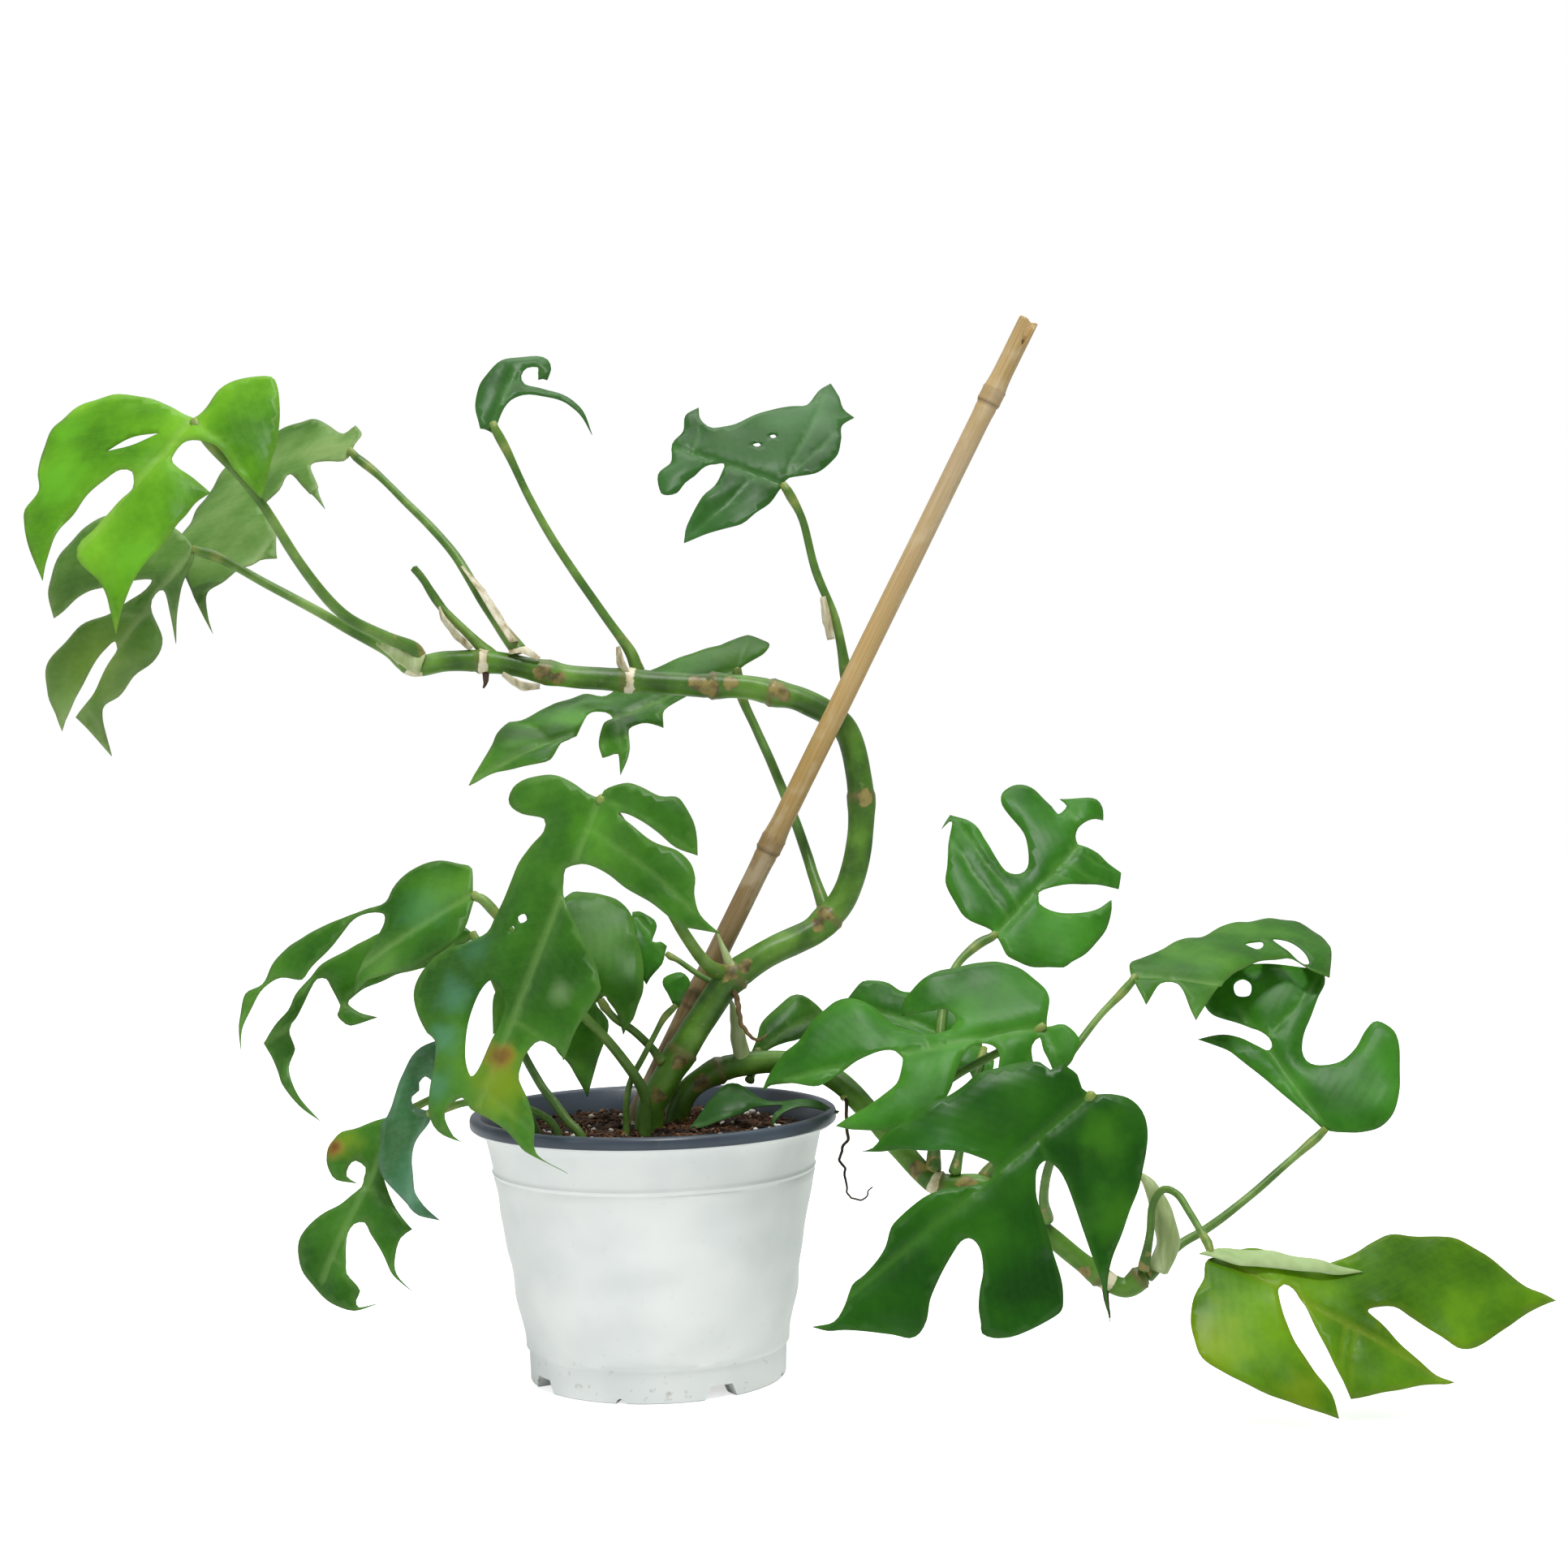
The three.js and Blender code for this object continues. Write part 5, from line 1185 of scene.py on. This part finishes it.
def makeStake():
    foot, top = Vector(stake["foot"]), Vector(stake["top"])
    length = (top - foot).length
    axis = (top - foot).normalized()
    normal = axis.orthogonal().normalized()
    side = axis.cross(normal)
    profile = []
    for i in range(stake["steps"] + 1):
        share = i / stake["steps"]
        r = stake["footRadius"] + (stake["topRadius"] - stake["footRadius"]) * share
        for knot in stake["knots"]:
            gap = (share - knot) * length
            r += stake["flare"] * bump(gap, stake["flareLength"])
            r += stake["lip"] * (bump(gap - stake["lipAt"], stake["lipLength"])
                                 + bump(gap + stake["lipAt"], stake["lipLength"])
                                 - bump(gap + stake["grooveAt"], stake["grooveLength"]))
        profile.append((r, share * length))
    rise = length - stake["boreDepth"]
    profile += [(stake["topRadius"] - 0.5, length + 0.3), (stake["bore"] + 0.2, length + 0.2),
                (stake["bore"], length - 1), (stake["bore"] * 0.9, rise), (0.2, rise - 0.5)]
    sides = stake["sides"]
    crackSide = Vector(stake["crackSide"])
    crackSide = (crackSide - axis * crackSide.dot(axis)).normalized()
    verts, faces, height, around, ring = [], [], [], [], []
    for r, z in profile:
        for s in range(sides):
            turn = 2 * math.pi * s / sides
            wide = r * (1 + 0.03 * noise.noise(Vector((math.cos(turn), math.sin(turn), z * 0.02))))
            # the top has split: its rim is uneven and stands open on one side
            out = normal * math.cos(turn) + side * math.sin(turn)
            facing = (out.dot(crackSide) - stake["crackStart"]) / (1 - stake["crackStart"])
            crack = stake["crackDepth"] * max(0, facing) ** 0.4
            ragged = 1.2 + 1.2 * noise.noise(Vector((math.cos(turn) * 2, math.sin(turn) * 2, 3)))
            cut = max(crack, ragged if r > stake["bore"] * 1.2 else ragged * 0.8)
            verts.append((foot + axis * min(z, length - cut) + out * wide) * mm)
            height.append(z / length)
            around.append(abs(turn / math.pi - 1))
            ring.append(max(0.9 * bump(z - k * length + 3.4, 0.8) + 0.35 * bump(z - k * length, 2.6)
                            + 0.3 * bump(z - k * length - 3, 0.6) for k in stake["knots"]))
    last = len(profile) - 1
    for i in range(last):
        faces += joinRings(i * sides, (i + 1) * sides, sides)
    faces += [tuple(reversed(range(sides))), tuple(last * sides + s for s in range(sides))]
    piece = newPiece("bamboo_cane", verts, faces, [bambooMaterial()], ["bamboo_stake"])
    for kind, values in (("height", height), ("around", around), ("ring", ring)):
        addAttribute(piece, kind, values)


makeStake()
print("stake done")


# pot
pot = dict(height=110, rimRadius=76, rimBand=5, rimWidth=4, neckRadius=69.5, stepRadius=66.5,
           stepHeight=87, footRadius=53, footBand=13.5, footRing=8, wall=1.6, floorRise=6,
           floorThick=2, padRadius=18,
           notches=4, notchTurn=-59, notchWidth=16, notchHeight=5.5, drainRadius=2.2, sides=200)


def potMaterial(name, shades, grime, roughness):
    # moulded polypropylene: soft satin gloss, faint handling marks, and a little dirt low down
    material, tree, shader = startMaterial(name)
    place = objectPlace(tree)
    height = addNode(tree, "ShaderNodeSeparateXYZ", {"Vector": place}).outputs["Z"]
    broad = pattern(tree, place, 22.0, 3.0)
    specks = pattern(tree, place, 260.0, 3.0)
    body = ramp(tree, broad, [(0.3, shades[0]), (0.6, shades[1])])
    low = mapRange(tree, height, fromMin=0.022, fromMax=0.0)
    dots = mapRange(tree, specks, fromMin=0.64, fromMax=0.72)
    dirt = maths(tree, "MULTIPLY", low, dots)
    dirty = mixColour(tree, addScale(tree, dirt, 0.5), body, grime)
    scuffed = mixColour(tree, addScale(tree, dots, 0.04), dirty, grime)
    tree.links.new(scuffed, shader.inputs["Base Color"])
    satin = mapRange(tree, broad, toMin=roughness - 0.06, toMax=roughness + 0.08)
    tree.links.new(satin, shader.inputs["Roughness"])
    addBump(tree, shader, specks, 0.12, 0.0002)
    shader.inputs["IOR"].default_value = 1.49
    return material


def cutSolid(name, verts, faces):
    # a closed solid, in metres, that is taken out of the pot and then removed
    mesh = bpy.data.meshes.new(name)
    mesh.from_pydata([tuple(v) for v in verts], [], faces)
    tool = bpy.data.objects.new(name, mesh)
    bpy.context.scene.collection.objects.link(tool)
    return tool


def makePot():
    p = pot
    rimBottom = p["height"] - p["rimBand"]
    rim, foot, neck, step = p["rimRadius"], p["footRadius"], p["neckRadius"], p["stepRadius"]

    def wallAt(z):
        share = (z - p["footBand"]) / (p["stepHeight"] - p["footBand"])
        return p["footRadius"] + 1.5 + (p["stepRadius"] - p["footRadius"] - 1.5) * share

    # the section from the middle of the foot, up the outside, over the rim and down the inside
    footInner = foot - p["footRing"]
    outer = [(0, 0), (p["padRadius"], 0), (p["padRadius"] + 2, p["floorRise"]),
             (footInner - 1, p["floorRise"]), (footInner, 0.4), (footInner + 0.5, 0), (foot - 0.6, 0),
             (foot, 0.6), (foot + 0.5, p["footBand"] - 0.8), (foot + 0.9, p["footBand"]),
             (foot + 1.7, p["footBand"] + 0.8)]
    outer += [(wallAt(z) + 0.3, z) for z in np.linspace(p["footBand"] + 2.5, p["stepHeight"] - 3, 26)]
    outer += [(step - 0.4, p["stepHeight"] - 1.6), (step + 0.4, p["stepHeight"] - 0.8),
              (step + 0.7, p["stepHeight"]), (step + 0.3, p["stepHeight"] + 0.8)]
    outer += [(step + 0.4 + (neck - step - 0.2) * t, p["stepHeight"] + 2 + 13 * t)
              for t in np.linspace(0, 1, 6)]
    outer += [(neck + 1.2, rimBottom - 1.4), (rim - 2.2, rimBottom - 1.2),
              (rim - 1.4, rimBottom - 0.6), (rim - 1.2, rimBottom + 0.1),
              (rim - 0.3, rimBottom + 0.3), (rim, rimBottom + 1),
              (rim, p["height"] - 1.6), (rim - 0.4, p["height"] - 0.6), (rim - 1.3, p["height"]),
              (rim - p["rimWidth"] + 0.5, p["height"]), (rim - p["rimWidth"] - 0.2, p["height"] - 0.4)]
    inner = [(rim - p["rimWidth"] - 0.9, p["height"] - 1.4), (neck - p["wall"] + 0.4, rimBottom - 2),
             (neck - p["wall"] - 0.4, rimBottom - 5)]
    inner += [(wallAt(z) - p["wall"], z) for z in np.linspace(p["stepHeight"], p["footBand"], 12)]
    inner += [(wallAt(p["footBand"]) - p["wall"] - 3, p["floorRise"] + p["floorThick"]),
              (0, p["floorRise"] + p["floorThick"])]
    rings = outer + inner
    sides = p["sides"]
    verts, faces = [], []
    for r, z in rings[1:-1]:
        for s in range(sides):
            turn = 2 * math.pi * s / sides
            dent = 0.0
            if p["footBand"] + 2 < z < p["stepHeight"] - 2 and r > wallAt(z):
                # thin wall: shallow dents from handling
                around = Vector((math.cos(turn) * 2.2, math.sin(turn) * 2.2, z * 0.075))
                dent = 1.3 * noise.noise(around)
            verts.append(Vector(((r + dent) * math.cos(turn), (r + dent) * math.sin(turn), z)) * mm)
    for i in range(len(rings) - 3):
        faces += joinRings(i * sides, (i + 1) * sides, sides)
    verts += [Vector((0, 0, rings[0][1])) * mm, Vector((0, 0, rings[-1][1])) * mm]
    last = (len(rings) - 3) * sides
    for s in range(sides):
        t = (s + 1) % sides
        faces.append((t, s, len(verts) - 2))
        faces.append((last + s, last + t, len(verts) - 1))
    white = potMaterial("white_polypropylene", ["#DCE1E0", "#ECEFED"], "#8A7A66", 0.36)
    slate = potMaterial("slate_polypropylene", ["#2E3741", "#424D5A"], "#8A8478", 0.32)
    piece = newPiece("nursery_pot", verts, faces, [white, slate], ["pot"])

    tools = []
    for k in range(p["notches"]):
        turn = math.radians(p["notchTurn"] + 360 / p["notches"] * k)
        out = Vector((math.cos(turn), math.sin(turn), 0))
        side = Vector((-math.sin(turn), math.cos(turn), 0))
        half = p["notchWidth"] / 2
        corners = [(-half, -1), (half, -1), (half - 3, p["notchHeight"]), (3 - half, p["notchHeight"])]
        solid = [(out * reach + side * u + Vector((0, 0, z))) * mm
                 for reach in (footInner - 3, foot + 3) for u, z in corners]
        tools.append(cutSolid("notch_tool", solid,
                              [(3, 2, 1, 0), (4, 5, 6, 7)] + joinRings(0, 4, 4)))
        turn += math.pi / p["notches"]
        out = Vector((math.cos(turn), math.sin(turn), 0))
        side = Vector((-math.sin(turn), math.cos(turn), 0))
        n = 20
        solid = [(out * reach + side * p["drainRadius"] * math.cos(2 * math.pi * j / n)
                  + Vector((0, 0, p["drainRadius"] * math.sin(2 * math.pi * j / n)))) * mm
                 for reach in (footInner - 3, foot + 3) for j in range(n)]
        caps = [tuple(reversed(range(n))), tuple(range(n, 2 * n))]
        tools.append(cutSolid("drain_tool", solid, caps + joinRings(0, n, n)))
    for tool in tools:
        mesh = bmesh.new()
        mesh.from_mesh(tool.data)
        bmesh.ops.recalc_face_normals(mesh, faces=mesh.faces)
        mesh.to_mesh(tool.data)
        mesh.free()
        cut = piece.modifiers.new("cut", "BOOLEAN")
        cut.object = tool
        cut.operation = "DIFFERENCE"
        cut.solver = "EXACT"
    bpy.context.view_layer.update()
    done = bpy.data.meshes.new_from_object(piece.evaluated_get(bpy.context.evaluated_depsgraph_get()))
    piece.modifiers.clear()
    piece.data = done
    for tool in tools:
        bpy.data.objects.remove(tool, do_unlink=True)
    for face in done.polygons:
        reach = math.hypot(face.center.x, face.center.y)
        inward = face.normal.x * face.center.x + face.normal.y * face.center.y < 0
        onRim = face.center.z > (rimBottom + 0.05) * mm
        inside = inward and face.center.z > (p["floorRise"] + 1) * mm and reach < (neck + 1) * mm
        face.material_index = 1 if onRim or inside else 0
        face.use_smooth = True
    done.set_sharp_from_angle(angle=math.radians(38))


makePot()
print("pot done")


# soil
soil = dict(top=101, crown=3, radius=64.6, rings=70, sides=220, perlite=120, crumbs=900, fibres=150)


def soilMaterial(name, shades, scale, roughness=0.95):
    # damp peat and coir: almost no sheen, broken up by small brown bits
    material, tree, shader = startMaterial(name)
    grains = pattern(tree, objectPlace(tree), scale, 6.0)
    body = ramp(tree, grains, [(0.36, shades[0]), (0.52, shades[1]), (0.68, shades[2])])
    tree.links.new(body, shader.inputs["Base Color"])
    addBump(tree, shader, grains, 0.8, 0.001)
    shader.inputs["Roughness"].default_value = roughness
    return material


peat = soilMaterial("damp_peat", ["#120A07", "#2A1A12", "#4A2E1E"], 340.0)
coir = soilMaterial("coir_fibre", ["#5A3420", "#7E5232", "#A87848"], 200.0, 0.85)
bark = soilMaterial("bark_crumb", ["#1C100B", "#3A2416", "#6A452A"], 300.0)
perliteSkin = soilMaterial("perlite_grain", ["#C9C6BC", "#E4E2DA", "#F6F5F0"], 900.0, 0.8)


def soilHeight(x, y):
    reach = math.hypot(x, y) / soil["radius"]
    lump = 0
    for tall, fine, shift in ((1.5, 0.09, 1), (0.9, 0.3, 5), (0.5, 0.9, 8)):
        lump += tall * noise.noise(Vector((x * fine, y * fine, shift)))
    return soil["top"] - 0.6 + soil["crown"] * max(0, 1 - reach * reach) + lump


def makeSoil():
    verts, faces = [Vector((0, 0, soilHeight(0, 0))) * mm], []
    sides = soil["sides"]
    for ring in range(1, soil["rings"] + 1):
        reach = soil["radius"] * ring / soil["rings"]
        for s in range(sides):
            turn = 2 * math.pi * s / sides
            x, y = reach * math.cos(turn), reach * math.sin(turn)
            verts.append(Vector((x, y, soilHeight(x, y))) * mm)
    for z, share in ((86, 0.985), (40, 0.9), (14, 0.81), (9, 0.77)):
        for s in range(sides):
            turn = 2 * math.pi * s / sides
            reach = soil["radius"] * share
            verts.append(Vector((reach * math.cos(turn), reach * math.sin(turn), z)) * mm)
    for s in range(sides):
        faces.append((0, 1 + s, 1 + (s + 1) % sides))
    for ring in range(soil["rings"] + 3):
        for s in range(sides):
            a, b = 1 + ring * sides + s, 1 + ring * sides + (s + 1) % sides
            faces.append((a, a + sides, b + sides, b))
    last = 1 + (soil["rings"] + 3) * sides
    faces.append(tuple(reversed(range(last, last + sides))))
    newPiece("potting_mix", verts, faces, [peat], ["soil"])


def scatterLumps(name, material, count, sizes, seed, flat=0.7):
    # small broken lumps lying on the soil, all in one mesh
    rng = random.Random(seed)
    ball = bmesh.new()
    bmesh.ops.create_icosphere(ball, subdivisions=2, radius=1)
    shape = [v.co.copy() for v in ball.verts]
    facets = [tuple(v.index for v in f.verts) for f in ball.faces]
    ball.free()
    verts, faces = [], []
    for k in range(count):
        reach = soil["radius"] * 0.98 * math.sqrt(rng.random())
        turn = rng.uniform(0, 2 * math.pi)
        x, y = reach * math.cos(turn), reach * math.sin(turn)
        size = rng.uniform(*sizes) / 2
        lean = rng.uniform(0, 6.3)
        lying = Matrix.Rotation(lean, 3, Vector((rng.random(), rng.random(), rng.random())))
        stretch = Vector((rng.uniform(0.7, 1.3), rng.uniform(0.7, 1.2), flat * rng.uniform(0.7, 1.1)))
        middle = Vector((x, y, soilHeight(x, y) + size * 0.25))
        first = len(verts)
        for co in shape:
            rough = 1 + 0.45 * noise.noise(co * 1.4 + Vector((k, 0, seed)))
            broken = Vector((co.x * stretch.x, co.y * stretch.y, co.z * stretch.z))
            spot = lying @ broken * size * rough
            verts.append((middle + spot) * mm)
        faces += [tuple(first + i for i in f) for f in facets]
    newPiece(name, verts, faces, [material])


def scatterFibres(name, material, count, seed):
    # coir strands, bent and lying any way on the soil
    rng = random.Random(seed)
    verts, faces = [], []
    for k in range(count):
        reach = soil["radius"] * 0.9 * math.sqrt(rng.random())
        turn = rng.uniform(0, 2 * math.pi)
        x, y = reach * math.cos(turn), reach * math.sin(turn)
        heading = rng.uniform(0, 2 * math.pi)
        points = []
        for step in range(7):
            limit = soil["radius"] * 0.97 / max(math.hypot(x, y), 1)
            x, y = x * min(1, limit), y * min(1, limit)
            points.append(Vector((x, y, soilHeight(x, y) + 0.5 + 1.2 * rng.random())))
            heading += rng.uniform(-0.6, 0.6)
            length = rng.uniform(1.5, 3.2)
            x, y = x + length * math.cos(heading), y + length * math.sin(heading)
        thick = rng.uniform(0.12, 0.3)
        v, f, _ = sweep(curvePoints(points, 2), lambda share, d, t=thick: t * (1 - 0.6 * share), 5)
        faces += [tuple(len(verts) + i for i in face) for face in f]
        verts += v
    newPiece(name, verts, faces, [material])


def makeTuft(name, material, middle, count, seed):
    # fine roots and moss that stand up round the foot of the stems
    rng = random.Random(seed)
    verts, faces = [], []
    for k in range(count):
        spot = Vector(middle) + Vector((rng.gauss(0, 5), rng.gauss(0, 4), 0))
        lean = Vector((rng.gauss(0, 1), rng.gauss(0, 1), rng.uniform(0.6, 1.6))).normalized()
        points = [spot]
        for step in range(5):
            lean = (lean + Vector((rng.gauss(0, 0.5), rng.gauss(0, 0.5), -0.15))).normalized()
            points.append(points[-1] + lean * rng.uniform(1.0, 2.6))
        v, f, _ = sweep(curvePoints(points, 2), lambda share, d: 0.26 * (1 - 0.7 * share), 5)
        faces += [tuple(len(verts) + i for i in face) for face in f]
        verts += v
    newPiece(name, verts, faces, [material])


makeSoil()
scatterLumps("bark_crumbs", bark, soil["crumbs"], (1.0, 3.4), 11)
scatterLumps("coir_crumbs", coir, 160, (0.8, 2.2), 12)
scatterLumps("perlite", perliteSkin, soil["perlite"], (1.0, 3.0), 13, 0.9)
scatterFibres("coir_strands", coir, soil["fibres"], 14)
makeTuft("root_tuft", coir, (16, 6, 103), 70, 15)
print("soil done")
